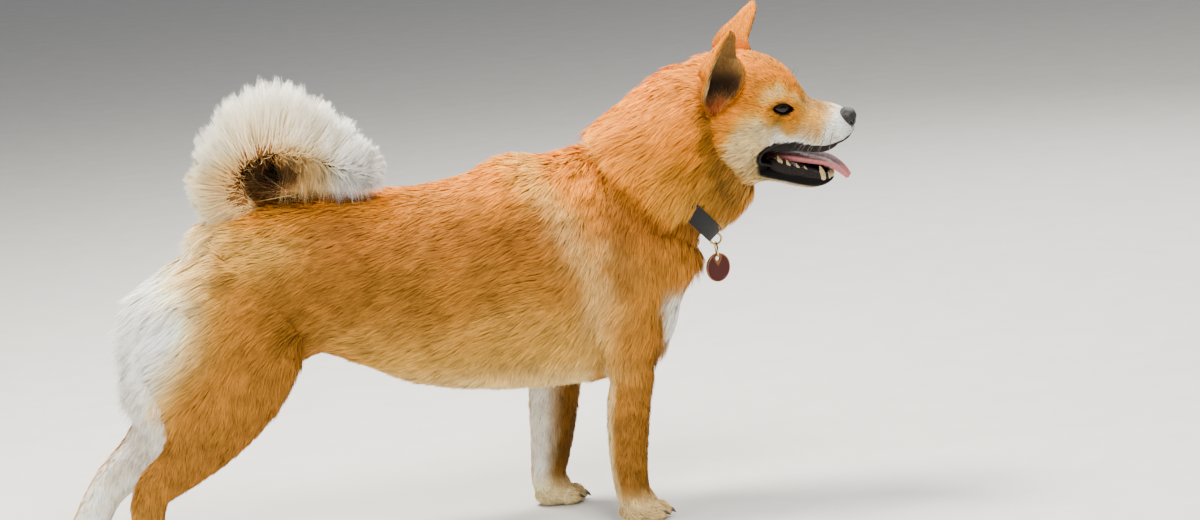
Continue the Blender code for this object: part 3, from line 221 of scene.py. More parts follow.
# x, z, core radius, hair reach outward, sideways and inward
TAIL = (
    (-204, 350, 17, 20, 20, 17), (-218, 364, 18, 30, 26, 17), (-230, 381, 17, 42, 34, 15),
    (-236, 400, 16, 45, 40, 16), (-229, 419, 15, 46, 44, 20), (-210, 433, 14, 56, 47, 22),
    (-185, 438, 13, 68, 48, 36), (-160, 432, 12, 58, 46, 68), (-137, 420, 10, 48, 42, 56),
    (-115, 408, 8, 43, 34, 40), (-93, 399, 5, 30, 22, 30), (-72, 395, 2, 10, 10, 17),
)
TAIL_SIDE, TAIL_DRIFT = -4.0, 24.0

COLLAR_POINT, COLLAR_PITCH = (223.0, 0.0, 350.0), 40.6
COLLAR_SECTION = (72.0, 68.0, 80.0)
COLLAR_WIDTH, COLLAR_THICKNESS = 20.0, 3.0
COLLAR_BARE = -22.0  # height in the collar's frame below which no hair covers it
NAPE_POINT, NAPE_AXIS = (292.0, 0.0, 415.0), (23.5, -12.0)  # where the head's coat begins
HIP_POINT, HIP_PITCH = (-172.0, 0.0, 228.0), -132.0  # where the thigh's coat begins
LOOP_RADIUS, LOOP_WIRE = 6.0, 1.2
RING_RADIUS, RING_WIRE = 8.0, 1.2
TAG_RADIUS, TAG_THICKNESS, TAG_HOLE, TAG_MARGIN, TAG_TURN = 15.5, 2.4, 3.0, 2.2, 28.0

# ---------------------------------------------------------------- arithmetic on arrays
def smooth(low: float, high: float, value: Array) -> Array:
    """An even step from 0 at low to 1 at high; low may be the larger."""
    t = np.clip((value - low) / (high - low), 0, 1)
    return t * t * (3 - 2 * t)


def bump(centre: float, width: float, value: Array) -> Array:
    """A soft hill of height 1 about a centre."""
    return np.exp(-(((value - centre) / width) ** 2))


def mix(a: Array, b: Row, share: Array) -> Array:
    """Blend rows of a towards b by a share for each row."""
    return a + (np.asarray(b) - a) * np.clip(share, 0, 1)[:, None]


def blend(a: Array, b: Array | float, share: Array) -> Array:
    """One value for each row, moved from a to b by a share."""
    return a * (1 - share) + b * share


def flat(rows: Array, normals: Array) -> Array:
    """Rows without their part along the normals."""
    return rows - normals * np.sum(rows * normals, axis=1, keepdims=True)


def unit(rows: Array) -> Array:
    """Rows scaled to length 1."""
    return rows / np.maximum(np.linalg.norm(rows, axis=1, keepdims=True), 1e-9)


def linear(colour: Array) -> Array:
    """Display colours as linear light."""
    return np.where(colour <= 0.04045, colour / 12.92, ((colour + 0.055) / 1.055) ** 2.4)


def value_noise(points: Array, seed: int) -> Array:
    """Smooth noise between -1 and 1 on a lattice of unit cells.

    Args:
        points: N x 3 places, already divided by the size of a cell.
        seed: Number of the pattern.

    Returns:
        N values.
    """
    cell = np.floor(points).astype(np.int64)
    part = points - cell
    part = part * part * (3 - 2 * part)
    total = np.zeros(len(points))
    for corner in range(8):
        step = np.array(((corner >> 0) & 1, (corner >> 1) & 1, (corner >> 2) & 1))
        key = (cell + step) @ np.array((73856093, 19349663, 83492791)) + seed * 2654435761
        key = (key ^ (key >> 13)) * 1274126177 & 0x7FFFFFFF
        key = (key ^ (key >> 16)) * 668265263 & 0x7FFFFFFF
        weight = np.prod(np.where(step == 1, part, 1 - part), axis=1)
        total += weight * (key / 0x3FFFFFFF - 1)
    return total


def noise_vectors(points: Array, size: float, seed: int) -> Array:
    """Three noises as a vector for each point, with cells of a size in millimetres."""
    return np.stack([value_noise(points / size, seed + k) for k in range(3)], axis=1)


def outline_distance(points: Array, outline: Table) -> Array:
    """Distance in a plane to a closed outline, below zero inside it."""
    corners = np.asarray(outline, float)
    nearest = np.full(len(points), 1e9)
    inside = np.zeros(len(points), bool)
    for a, b in zip(corners, np.roll(corners, -1, axis=0)):
        run = b - a
        t = np.clip(((points - a) @ run) / (run @ run), 0, 1)
        nearest = np.minimum(nearest, np.linalg.norm(points - a - t[:, None] * run, axis=1))
        crosses = (a[1] > points[:, 1]) != (b[1] > points[:, 1])
        level = a[0] + (points[:, 1] - a[1]) / (b[1] - a[1] if b[1] != a[1] else 1e-9) * run[0]
        inside ^= crosses & (points[:, 0] < level)
    return np.where(inside, -nearest, nearest)


def resample(table: Table, per: int) -> Array:
    """More stations between those of a table, on a smooth curve through them."""
    rows = np.asarray(table, float)
    padded = np.vstack((2 * rows[0] - rows[1], rows, 2 * rows[-1] - rows[-2]))
    found = []
    for k in range(len(rows) - 1):
        a, b, c, d = padded[k:k + 4]
        for t in np.arange(per) / per:
            found.append(0.5 * (2 * b + (c - a) * t + (2 * a - 5 * b + 4 * c - d) * t ** 2
                                + (3 * b - a - 3 * c + d) * t ** 3))
    found.append(rows[-1])
    return np.array(found)


def turned(degrees: float, about: str) -> Matrix:
    """A turn about one axis."""
    return Matrix.Rotation(math.radians(degrees), 4, about)


def carry(points: Array, frame_: Array) -> Array:
    """Places of a frame in the frame it stands in."""
    return points @ frame_[:3, :3].T + frame_[:3, 3]


def head_matrix() -> Array:
    """From the head's own frame to the dog's frame, both in millimetres."""
    turn = turned(HEAD_YAW, "Z") @ turned(HEAD_ROLL, "X")
    zero = Matrix.Translation((0, 0, -HEAD_ZERO_Z))
    return np.array(Matrix.Translation(HEAD_PIVOT) @ turn @ zero)


HEAD = head_matrix()
HEAD_BACK = np.linalg.inv(HEAD)


def from_head(points: Array) -> Array:
    """Places of the head's frame in the dog's frame."""
    return carry(points, HEAD)


def to_head(points: Array) -> Array:
    """Places of the dog's frame in the head's frame."""
    return carry(points, HEAD_BACK)


def eye_frame(side: int) -> Array:
    """The eye's own frame: +X out through the pupil, +Z towards the upper lid."""
    x, y, z = EYE_CENTRE
    where = Matrix.Translation((x, side * y, z)) @ turned(side * EYE_OUTWARD, "Z")
    return HEAD @ np.array(where @ turned(side * EYE_TILT, "X"))


# ---------------------------------------------------------------- meshes
def deselect() -> None:
    """Nothing selected, and the object mode on."""
    if bpy.context.object and bpy.context.object.mode != "OBJECT":
        bpy.ops.object.mode_set(mode="OBJECT")
    bpy.ops.object.select_all(action="DESELECT")


def make_active(obj: Piece) -> None:
    """Select one object alone."""
    deselect()
    obj.select_set(True)
    bpy.context.view_layer.objects.active = obj


def new_mesh(name: str, points: Array, faces: list) -> Piece:
    """An object from places in millimetres of the dog's frame, faces turned outwards."""
    mesh = bpy.data.meshes.new(name)
    mesh.from_pydata(((points + ORIGIN) * MM).tolist(), [], faces)
    shape = bmesh.new()
    shape.from_mesh(mesh)
    bmesh.ops.recalc_face_normals(shape, faces=shape.faces)
    shape.to_mesh(mesh)
    shape.free()
    obj = bpy.data.objects.new(name, mesh)
    bpy.context.scene.collection.objects.link(obj)
    return obj


def ring_faces(count: int, sides: int, closed: bool = False) -> list[tuple[int, ...]]:
    """The faces between rings of equal count, from the last ring to the first too where closed."""
    faces = []
    for r in range(count if closed else count - 1):
        here, after = r * sides, (r + 1) % count * sides
        for k in range(sides):
            n = (k + 1) % sides
            faces.append((here + k, here + n, after + n, after + k))
    return faces


def loft(name: str, rings: Array) -> Piece:
    """A closed skin over rings of equal count, its ends closed by fans."""
    count, sides = rings.shape[:2]
    points = np.vstack((rings.reshape(-1, 3), rings[0].mean(0), rings[-1].mean(0)))
    faces = ring_faces(count, sides)
    for end, row in ((count * sides, 0), (count * sides + 1, (count - 1) * sides)):
        faces += [(row + k, row + (k + 1) % sides, end) for k in range(sides)]
    return new_mesh(name, points, faces)


def egg(centre: Row, across: Row, up: Row, half: float, above: float,
        below: float, fullness: float = 1.0, sides: int = 40) -> Array:
    """A closed section whose top and bottom halves have their own heights."""
    angle = 2 * np.pi * np.arange(sides) / sides
    wide = np.sign(np.cos(angle)) * np.abs(np.cos(angle)) ** fullness * half
    rise = np.sign(np.sin(angle)) * np.abs(np.sin(angle)) ** fullness
    rise = rise * np.where(rise > 0, above, below)
    return np.asarray(centre) + wide[:, None] * np.asarray(across) + rise[:, None] * np.asarray(up)


def heading(rows: Array, i: int) -> Array:
    """The direction between the stations on either side of one, or of the end and its neighbour."""
    run = rows[min(i + 1, len(rows) - 1)] - rows[max(i - 1, 0)]
    return run / np.linalg.norm(run)


def apply_modifiers(obj: Piece) -> None:
    """Apply every modifier of an object in order."""
    make_active(obj)
    for step in list(obj.modifiers):
        bpy.ops.object.modifier_apply(modifier=step.name)


def join(name: str, pieces: Sequence[Piece]) -> Piece:
    """One object from several, without fusing them."""
    deselect()
    for piece in pieces:
        piece.select_set(True)
    bpy.context.view_layer.objects.active = pieces[0]
    if len(pieces) > 1:
        bpy.ops.object.join()
    pieces[0].name = name
    pieces[0].data.name = name
    return pieces[0]


def remove(obj: Piece) -> None:
    """Take a helper out of the file."""
    bpy.data.objects.remove(obj, do_unlink=True)


def boolean(obj: Piece, other: Piece, operation: str, solver: str = "MANIFOLD") -> None:
    """Apply one Boolean with another object and remove that object."""
    step = obj.modifiers.new(operation.lower(), "BOOLEAN")
    step.operation = operation
    step.solver = solver
    step.object = other
    apply_modifiers(obj)
    remove(other)


def melt(obj: Piece, voxel: float, relax: int) -> None:
    """Fuse overlapping forms into one even surface (voxel in millimetres)."""
    step = obj.modifiers.new("melt", "REMESH")
    step.mode = "VOXEL"
    step.voxel_size = voxel * MM
    if relax:
        even = obj.modifiers.new("relax", "SMOOTH")
        even.factor = 0.5
        even.iterations = relax
    apply_modifiers(obj)


def place(obj: Piece, matrix: Array) -> None:
    """Put a mesh made in millimetres of a frame into the dog's frame in metres."""
    world = Matrix.Scale(MM, 4) @ Matrix.Translation(ORIGIN.tolist()) @ Matrix(matrix.tolist())
    obj.data.transform(world)
    if world.determinant() < 0:
        obj.data.flip_normals()


def sphere(name: str, segments: int, rings: int) -> Piece:
    """A ball of radius 1 at the origin."""
    deselect()
    bpy.ops.mesh.primitive_uv_sphere_add(segments=segments, ring_count=rings, radius=1)
    obj = bpy.context.object
    obj.name = obj.data.name = name
    return obj


def read(items: bpy.types.bpy_prop_collection, name: str, width: int = 1,
         kind: type = float) -> Array:
    """One value of every item of a mesh, in rows where it is wider than 1."""
    values = np.empty(len(items) * width, kind)
    items.foreach_get(name, values)
    return values.reshape(-1, width) if width > 1 else values


def ball(name: str, matrix: Array, radii: Row, segments: int = 24,
         rings: int = 14) -> Piece:
    """An ellipsoid in a frame, in millimetres."""
    obj = sphere(name, segments, rings)
    place(obj, matrix @ np.diag((*radii, 1.0)))
    return obj


def shift(x: float, y: float, z: float) -> Array:
    """A frame moved from the dog's own."""
    return np.array(Matrix.Translation((x, y, z)))


def prism(name: str, outline: Table, half_width: float) -> Piece:
    """A side-view outline of the head's frame run through across the head."""
    count = len(outline)
    points = np.array([(x, side * half_width, z) for side in (-1, 1) for x, z in outline], float)
    faces = [list(range(count)), list(range(count, 2 * count))]
    faces += [(k, (k + 1) % count, count + (k + 1) % count, count + k) for k in range(count)]
    return new_mesh(name, from_head(points), faces)


def points_of(obj: Piece) -> Array:
    """Vertices in millimetres of the dog's frame."""
    return read(obj.data.vertices, "co", 3) / MM - ORIGIN


def set_points(obj: Piece, points: Array) -> None:
    """Write vertices back from millimetres of the dog's frame."""
    obj.data.vertices.foreach_set("co", ((points + ORIGIN) * MM).ravel())
    obj.data.update()


def surface_tree(obj: Piece) -> BVHTree:
    """A tree of a finished surface, in millimetres."""
    faces = [tuple(face.vertices) for face in obj.data.polygons]
    return BVHTree.FromPolygons(points_of(obj).tolist(), faces)


def shade(obj: Piece) -> None:
    """Smooth shading all over."""
    obj.data.polygons.foreach_set("use_smooth", np.ones(len(obj.data.polygons), bool))
    obj.data.update()


def tube(name: str, path: Array, radii: Array, sides: int = 10,
         closed: bool = False) -> Piece:
    """A round tube along a path, with a radius for each point."""
    ahead = np.roll(path, -1, axis=0) - np.roll(path, 1, axis=0)
    if not closed:
        ahead[0], ahead[-1] = path[1] - path[0], path[-1] - path[-2]
    ahead = unit(ahead)
    side = np.cross(ahead[0], (0.3, 0.2, 0.93))
    rings = []
    for point, run, radius in zip(path, ahead, radii):
        side = side - run * (side @ run)
        side = side / np.linalg.norm(side)
        up = np.cross(run, side)
        rings.append(egg(point, side, up, radius, radius, radius, 1.0, sides))
    if not closed:
        return loft(name, np.array(rings))
    return new_mesh(name, np.array(rings).reshape(-1, 3), ring_faces(len(rings), sides, closed))


def store_colours(mesh: Mesh, name: str, colours: Array) -> None:
    """Keep linear colours on the vertices."""
    layer = mesh.attributes.new(name, "FLOAT_COLOR", "POINT")
    rgba = np.ones((len(colours), 4), np.float32)
    rgba[:, :3] = colours
    layer.data.foreach_set("color", rgba.ravel())


def store_values(mesh: Mesh, name: str, values: Array) -> None:
    """Keep one number on each vertex."""
    layer = mesh.attributes.new(name, "FLOAT", "POINT")
    layer.data.foreach_set("value", values.astype(np.float32))


# ---------------------------------------------------------------- finishes
class Nodes:
    """A material's node tree, with short calls to fill it."""

    def __init__(self, name: str) -> None:
        """Start a material with a plain shader.

        Args:
            name: Name of the material.
        """
        self.material = bpy.data.materials.new(name)
        self.material.use_nodes = True
        self.tree = self.material.node_tree
        self.shader = self.tree.nodes["Principled BSDF"]

    def add(self, kind: str, **values: object) -> bpy.types.Node:
        """A node of a kind, with its properties set."""
        node = self.tree.nodes.new(kind)
        for key, value in values.items():
            setattr(node, key, value)
        return node

    def link(self, source: Socket, target: Socket) -> None:
        """Join two sockets."""
        self.tree.links.new(source, target)

    def attribute(self, name: str) -> bpy.types.Node:
        """A node that reads a vertex attribute."""
        return self.add("ShaderNodeAttribute", attribute_name=name)

    def grain(self, size: float, rough: float = 0.5) -> Socket:
        """Even grain with features of a size in millimetres, between 0 and 1."""
        group = self.add("ShaderNodeGroup", node_tree=grain_group())
        group.inputs["Size"].default_value = size
        group.inputs["Rough"].default_value = rough
        return group.outputs["Mask"]

    def ramp(self, source: Socket, low: float, high: float, start: float = 0.0,
             end: float = 1.0) -> Socket:
        """A value moved from start..end to low..high."""
        node = self.add("ShaderNodeMapRange")
        for name, value in (("From Min", start), ("From Max", end),
                            ("To Min", low), ("To Max", high)):
            node.inputs[name].default_value = value
        self.link(source, node.inputs["Value"])
        return node.outputs["Result"]

    def blend(self, share: float | Socket, a: Colour | Socket, b: Colour | Socket,
              how: str = "MIX") -> Socket:
        """Two colours mixed by a share."""
        node = self.add("ShaderNodeMix", data_type="RGBA", blend_type=how)
        for number, value in ((0, share), (6, a), (7, b)):
            if isinstance(value, Socket):
                self.link(value, node.inputs[number])
            else:
                node.inputs[number].default_value = (*value, 1) if number else value
        return node.outputs[2]

    def colour(self, source: Socket) -> None:
        """The colour of the surface."""
        self.link(source, self.shader.inputs["Base Color"])

    def rough(self, source: Socket, low: float, high: float) -> None:
        """The roughness, between two values."""
        self.link(self.ramp(source, low, high), self.shader.inputs["Roughness"])

    def relief(self, height: Socket, strength: float, distance: float) -> None:
        """Bump from a height, its depth in millimetres."""
        node = self.add("ShaderNodeBump")
        node.inputs["Strength"].default_value = strength
        node.inputs["Distance"].default_value = distance * MM
        self.link(height, node.inputs["Height"])
        self.link(node.outputs["Normal"], self.shader.inputs["Normal"])

    def set(self, **values: float) -> None:
        """Constant values on the shader's own sockets, by name with _ for a space."""
        for key, value in values.items():
            self.shader.inputs[key.replace("_", " ")].default_value = value


def grain_group() -> bpy.types.NodeTree:
    """The grain that several finishes share, made once."""
    known = bpy.data.node_groups.get("fine_grain")
    if known:
        return known
    tree = bpy.data.node_groups.new("fine_grain", "ShaderNodeTree")
    for name, way, value in (("Size", "INPUT", 1.0), ("Rough", "INPUT", 0.5),
                             ("Mask", "OUTPUT", 0.0)):
        made = tree.interface.new_socket(name, in_out=way, socket_type="NodeSocketFloat")
        made.default_value = value
    inward, outward, spots, count, noise = (tree.nodes.new(kind) for kind in (
        "NodeGroupInput", "NodeGroupOutput", "ShaderNodeTexCoord", "ShaderNodeMath",
        "ShaderNodeTexNoise"))
    count.operation = "DIVIDE"
    count.inputs[0].default_value = 1 / MM
    noise.inputs["Detail"].default_value = 3.0
    for source, target in ((inward.outputs["Size"], count.inputs[1]),
                           (count.outputs[0], noise.inputs["Scale"]),
                           (inward.outputs["Rough"], noise.inputs["Roughness"]),
                           (spots.outputs["Object"], noise.inputs["Vector"]),
                           (noise.outputs["Fac"], outward.inputs["Mask"])):
        tree.links.new(source, target)
    return tree


@dataclass(frozen=True)
class MarkedFinish:
    """Skin or coat that takes its markings, with their painted shade, from the vertices."""

    name: str
    # Share of the markings' brightness; below 1 it paints shade.
    depth: float = 1.0
    roughness: float = 0.6
    grain: float = 2.0
    relief: float = 0.0
    shine: float = 0.1
    tones: tuple[float, float] = (0.84, 1.12)

    def make(self) -> Material:
        """The material."""
        nodes = Nodes(self.name)
        marks_and_shade = nodes.attribute("marks_and_shade")
        low, high = (depth * self.depth for depth in self.tones)
        tone = nodes.ramp(nodes.grain(self.grain), low, high)
        grey = nodes.add("ShaderNodeCombineColor")
        for socket in grey.inputs[:3]:
            nodes.link(tone, socket)
        nodes.colour(nodes.blend(1.0, marks_and_shade.outputs["Color"], grey.outputs[0], "MULTIPLY"))
        nodes.set(Roughness=self.roughness, Specular_IOR_Level=self.shine)
        if self.relief:
            wet = nodes.attribute("wet")
            nodes.rough(wet.outputs["Fac"], 0.75, 0.3)
            nodes.relief(nodes.grain(1.4, 0.7), 0.6, self.relief)
        return nodes.material


@dataclass(frozen=True)
class GrainFinish:
    """A surface of two near tones with a fine relief, such as leather, gum, enamel or horn."""

    name: str
    low: Colour
    high: Colour
    size: float
    roughness: tuple[float, float]
    relief: float = 0.0
    pebbles: float = 0.0
    coat: float = 0.0
    metallic: float = 0.0
    shine: float = 0.5

    def make(self) -> Material:
        """The material."""
        nodes = Nodes(self.name)
        share = nodes.ramp(nodes.grain(self.size), 0.0, 1.0, 0.3, 0.7)
        nodes.colour(nodes.blend(share, self.low, self.high))
        nodes.rough(nodes.grain(self.size * 0.6), *self.roughness)
        nodes.set(Coat_Weight=self.coat, Coat_Roughness=0.08, Metallic=self.metallic,
                  Specular_IOR_Level=self.shine)
        if self.pebbles:
            where = nodes.add("ShaderNodeTexCoord")
            cells = nodes.add("ShaderNodeTexVoronoi", feature="DISTANCE_TO_EDGE")
            cells.inputs["Scale"].default_value = 1 / (self.pebbles * MM)
            nodes.link(where.outputs["Object"], cells.inputs["Vector"])
            edges = nodes.ramp(cells.outputs["Distance"], 0.0, 1.0, 0.0, 0.25)
            nodes.relief(edges, 0.8, self.relief)
        elif self.relief:
            nodes.relief(nodes.grain(self.size * 0.5, 0.7), 0.7, self.relief)
        return nodes.material


@dataclass(frozen=True)
class TintFinish:
    """A surface with its colours and its metal on the vertices, such as an eye or a tag."""

    name: str
    roughness: float
    coat: float
    size: float = 0.8
    metal: bool = False
    shine: float = 0.5

    def make(self) -> Material:
        """The material."""
        nodes = Nodes(self.name)
        tint = nodes.attribute("tint")
        mask = nodes.ramp(nodes.grain(self.size), 0.0, 0.25)
        nodes.colour(nodes.blend(mask, tint.outputs["Color"], (0.0, 0.0, 0.0)))
        if self.metal:
            nodes.link(nodes.attribute("metal").outputs["Fac"], nodes.shader.inputs["Metallic"])
        nodes.rough(nodes.grain(self.size), self.roughness * 0.8, self.roughness * 1.2)
        nodes.set(Coat_Weight=self.coat, Coat_Roughness=0.04, Specular_IOR_Level=self.shine)
        return nodes.material


@dataclass(frozen=True)
class WebFinish:
    """Woven nylon web, its ribs along the band's own map."""

    name: str = "nylon_web"
    low: Colour = (0.008, 0.008, 0.009)
    high: Colour = (0.02, 0.02, 0.022)
    ribs: float = 34.0

    def make(self) -> Material:
        """The material."""
        nodes = Nodes(self.name)
        lines = nodes.add("ShaderNodeUVMap", uv_map="band")
        weave = nodes.add("ShaderNodeTexWave", bands_direction="DIAGONAL")
        weave.inputs["Scale"].default_value = self.ribs
        weave.inputs["Distortion"].default_value = 0.6
        nodes.link(lines.outputs["UV"], weave.inputs["Vector"])
        nodes.colour(nodes.blend(weave.outputs["Fac"], self.low, self.high))
        nodes.rough(nodes.grain(1.5), 0.6, 0.9)
        nodes.set(Specular_IOR_Level=0.25)
        nodes.relief(weave.outputs["Fac"], 0.6, 0.4)
        return nodes.material


def dress(obj: Piece, material: Material, slot: str, *nodes: str) -> None:
    """Give a finished piece its material, its body and the nodes it stands for."""
    obj.data.materials.clear()
    obj.data.materials.append(material)
    shade(obj)
    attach(obj, "root")
    if nodes:
        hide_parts(*nodes)
    log.info("%s: %d faces", obj.name, len(obj.data.polygons))


# ---------------------------------------------------------------- markings
class Tone(Enum):
    """Tones of the coat, as display colours."""

    ORANGE = (0.90, 0.545, 0.03)
    RED = (0.71, 0.475, 0.155)
    RUST = (0.66, 0.40, 0.12)
    BROWN = (0.42, 0.285, 0.10)
    TAN = (0.83, 0.65, 0.29)
    CREAM = (0.95, 0.85, 0.62)
    WHITE = (1.0, 0.99, 0.955)
    # Painted shade deep in the ear cups, and dark hair with painted shade under the curl of the
    # tail.
    DARK = (0.10, 0.06, 0.04)
    BLACK = (0.045, 0.04, 0.038)
    GUM = (0.07, 0.025, 0.022)
    DUN = (0.60, 0.46, 0.29)
    FAWN = (0.88, 0.72, 0.52)
    CUP = (0.62, 0.46, 0.25)
    LOBE = (0.58, 0.27, 0.11)
    TAIL_SKIN = (0.70, 0.47, 0.24)
    # Dark hair and painted shade in the eye of the tail's curl.
    PLUME_EYE = (0.06, 0.035, 0.02)
    PLUME_BROWN = (0.58, 0.36, 0.15)
    PLUME_GOLD = (0.98, 0.83, 0.55)


class Region(Enum):
    """Parts of the coat, each a piece of its own: its name, then the nodes that it stands for."""

    FLANK_RIGHT = ("flank_right", "torso")
    FLANK_LEFT = ("flank_left", "torso")
    NECK = ("neck", "neck")
    HEAD = ("head", "head", "lower_jaw")
    EARS = ("ears", "ear_left", "ear_right")
    FORELEGS = ("forelegs", "foreleg_left", "foreleg_right")
    HINDLEGS = ("hindlegs", "hindleg_left", "hindleg_right")
    TAIL = ("tail", "tail")


@dataclass
class Site:
    """Places on the skin with what is known of them.

    Attributes:
        p: Places in the dog's frame.
        n: Outward normals there.
        ear: 0 on the body, 1 on the back of an ear, 2 in its cup, 3 where the skull is cut for it.
        depth: Distance up to the tips of the coat that lies flat.
    """

    p: Array
    n: Array
    ear: Array
    depth: Array
    h: Array = field(init=False)

    def __post_init__(self) -> None:
        """Work out the places in the head's frame and the distances to the cuts."""
        self.h = to_head(self.p)
        self.side = np.sign(self.p[:, 1])
        self.gape = outline_distance(self.h[:, [0, 2]], GAPE)
        self.past_collar = (self.p - COLLAR_POINT) @ axis(COLLAR_PITCH, 0)
        self.over_collar = (self.p - COLLAR_POINT) @ axis(COLLAR_PITCH + 90, 0)
        self.past_nape = (self.p - NAPE_POINT) @ axis(*NAPE_AXIS)
        self.tail = tail_distance(self.p)
        self.past_hip = (self.p - HIP_POINT) @ axis(HIP_PITCH, 0)

    def in_mouth(self) -> Array:
        """True inside the opened mouth."""
        palate = outline_distance(self.h[:, [0, 2]], PALATE)
        roof = (palate < 0.5) & (np.abs(self.h[:, 1]) < PALATE_HALF_WIDTH + 0.5)
        return (self.head() > 0.5) & ((self.gape < 0.5) | roof)

    def head(self) -> Array:
        """1 on the head, 0 on the neck, with a soft edge."""
        return smooth(-14, 10, self.past_nape) * smooth(120, 160, self.p[:, 0])

    def eye_distance(self) -> Array:
        """Distance from the almond of the nearer lids, below 1 within it."""
        best = np.full(len(self.p), 1e9)
        for side in (-1, 1):
            e = (self.p - eye_frame(side)[:3, 3]) @ eye_frame(side)[:3, :3]
            ring = (e[:, 1] / (LID_WIDTH / 2)) ** 2 + np.abs(e[:, 2]) / (LID_HEIGHT / 2)
            best = np.minimum(best, np.where(e[:, 0] > 2, ring, 1e9))
        return best

    def on_leg(self) -> Array:
        """1 within a foreleg's outline from the side, 0 off it."""
        found = np.zeros(len(self.p))
        for name in ("foreleg_right", "foreleg_left"):
            table = np.array(LEGS[name], float)[::-1]
            middle = np.interp(self.p[:, 2], table[:, 1], table[:, 0])
            half = np.interp(self.p[:, 2], table[:, 1], table[:, 2])
            near = smooth(1.3, 1.0, np.abs(self.p[:, 0] - middle) / half)
            near = near * smooth(16, 26, np.abs(self.p[:, 1]))
            found = np.where(self.side == (1 if name.endswith("left") else -1), near, found)
        return found

    def below_gape(self) -> Array:
        """True below the lower lip's line."""
        return self.h[:, 2] < np.interp(self.h[:, 0], *JAW_LINE)

    def under_curl(self) -> Array:
        """1 on the back within the curl of the tail."""
        x, y, z = self.p.T
        return bump(-172, 38, x) * smooth(362, 374, z) * bump(-8, 30, y)

    def cup_gap(self) -> Array:
        """Distance from the opening of the ears as it is seen from the side."""
        gap = outline_distance(self.h[:, [0, 2]], EAR_MOUTH)
        return np.where((np.abs(self.h[:, 1]) > 30) & (self.ear < 0.5), gap, 99)

    def regions(self) -> Array:
        """The number of the coat's region at each place."""
        x, _, z = self.p.T
        names = list(Region)
        found = np.zeros(len(x), int)
        for region, where in ((Region.FLANK_RIGHT, self.side < 0),
                              (Region.FLANK_LEFT, self.side >= 0),
                              (Region.FORELEGS, (z < 185) & (x > 10)),
                              (Region.HINDLEGS, (self.past_hip > 0) & (x < -60)),
                              (Region.NECK, self.past_collar > 0),
                              (Region.HEAD, (self.past_nape > 0) & (x > 150)),
                              (Region.TAIL, self.tail < 4), (Region.EARS, self.ear > 0)):
            found[where] = names.index(region)
        return found


def axis(pitch: float, yaw: float) -> Array:
    """A direction raised by a pitch and turned by a yaw, in degrees."""
    p, y = math.radians(pitch), math.radians(yaw)
    return np.array((math.cos(p) * math.cos(y), math.cos(p) * math.sin(y), math.sin(p)))


def tail_line() -> Array:
    """The tail's stations as places."""
    drift = TAIL_DRIFT / (len(TAIL) - 1)
    return np.array([(x, TAIL_SIDE - drift * i, z) for i, (x, z, *_) in enumerate(TAIL)])


def tail_distance(points: Array) -> Array:
    """Distance outside the tail's core."""
    line = tail_line()
    cores = np.array([row[2] for row in TAIL], float)
    best = np.full(len(points), 1e9)
    for k in range(1, len(line) - 1):
        run = line[k + 1] - line[k]
        t = np.clip(((points - line[k]) @ run) / (run @ run), 0, 1)
        gap = np.linalg.norm(points - line[k] - t[:, None] * run, axis=1)
        best = np.minimum(best, gap - cores[k] - (cores[k + 1] - cores[k]) * t)
    return best


def spot(site: Site, centre: Row, radius: float) -> Array:
    """A soft round mark on both sides of the head."""
    folded = np.stack((site.h[:, 0], np.abs(site.h[:, 1]), site.h[:, 2]), axis=1)
    return bump(0, radius, np.linalg.norm(folded - centre, axis=1))


def plain(tone: Tone | Colour, count: int) -> Array:
    """One tone for every row."""
    return np.tile(tone.value if isinstance(tone, Tone) else tone, (count, 1))


def paint(colours: Array, *layers: tuple[Tone | Colour, Array]) -> Array:
    """Lay tones over colours in order.

    Args:
        colours: N x 3 colours to start from.
        layers: A tone and its share for each row.

    Returns:
        N x 3 colours.
    """
    for tone, share in layers:
        colours = mix(colours, tone.value if isinstance(tone, Tone) else tone, share)
    return colours


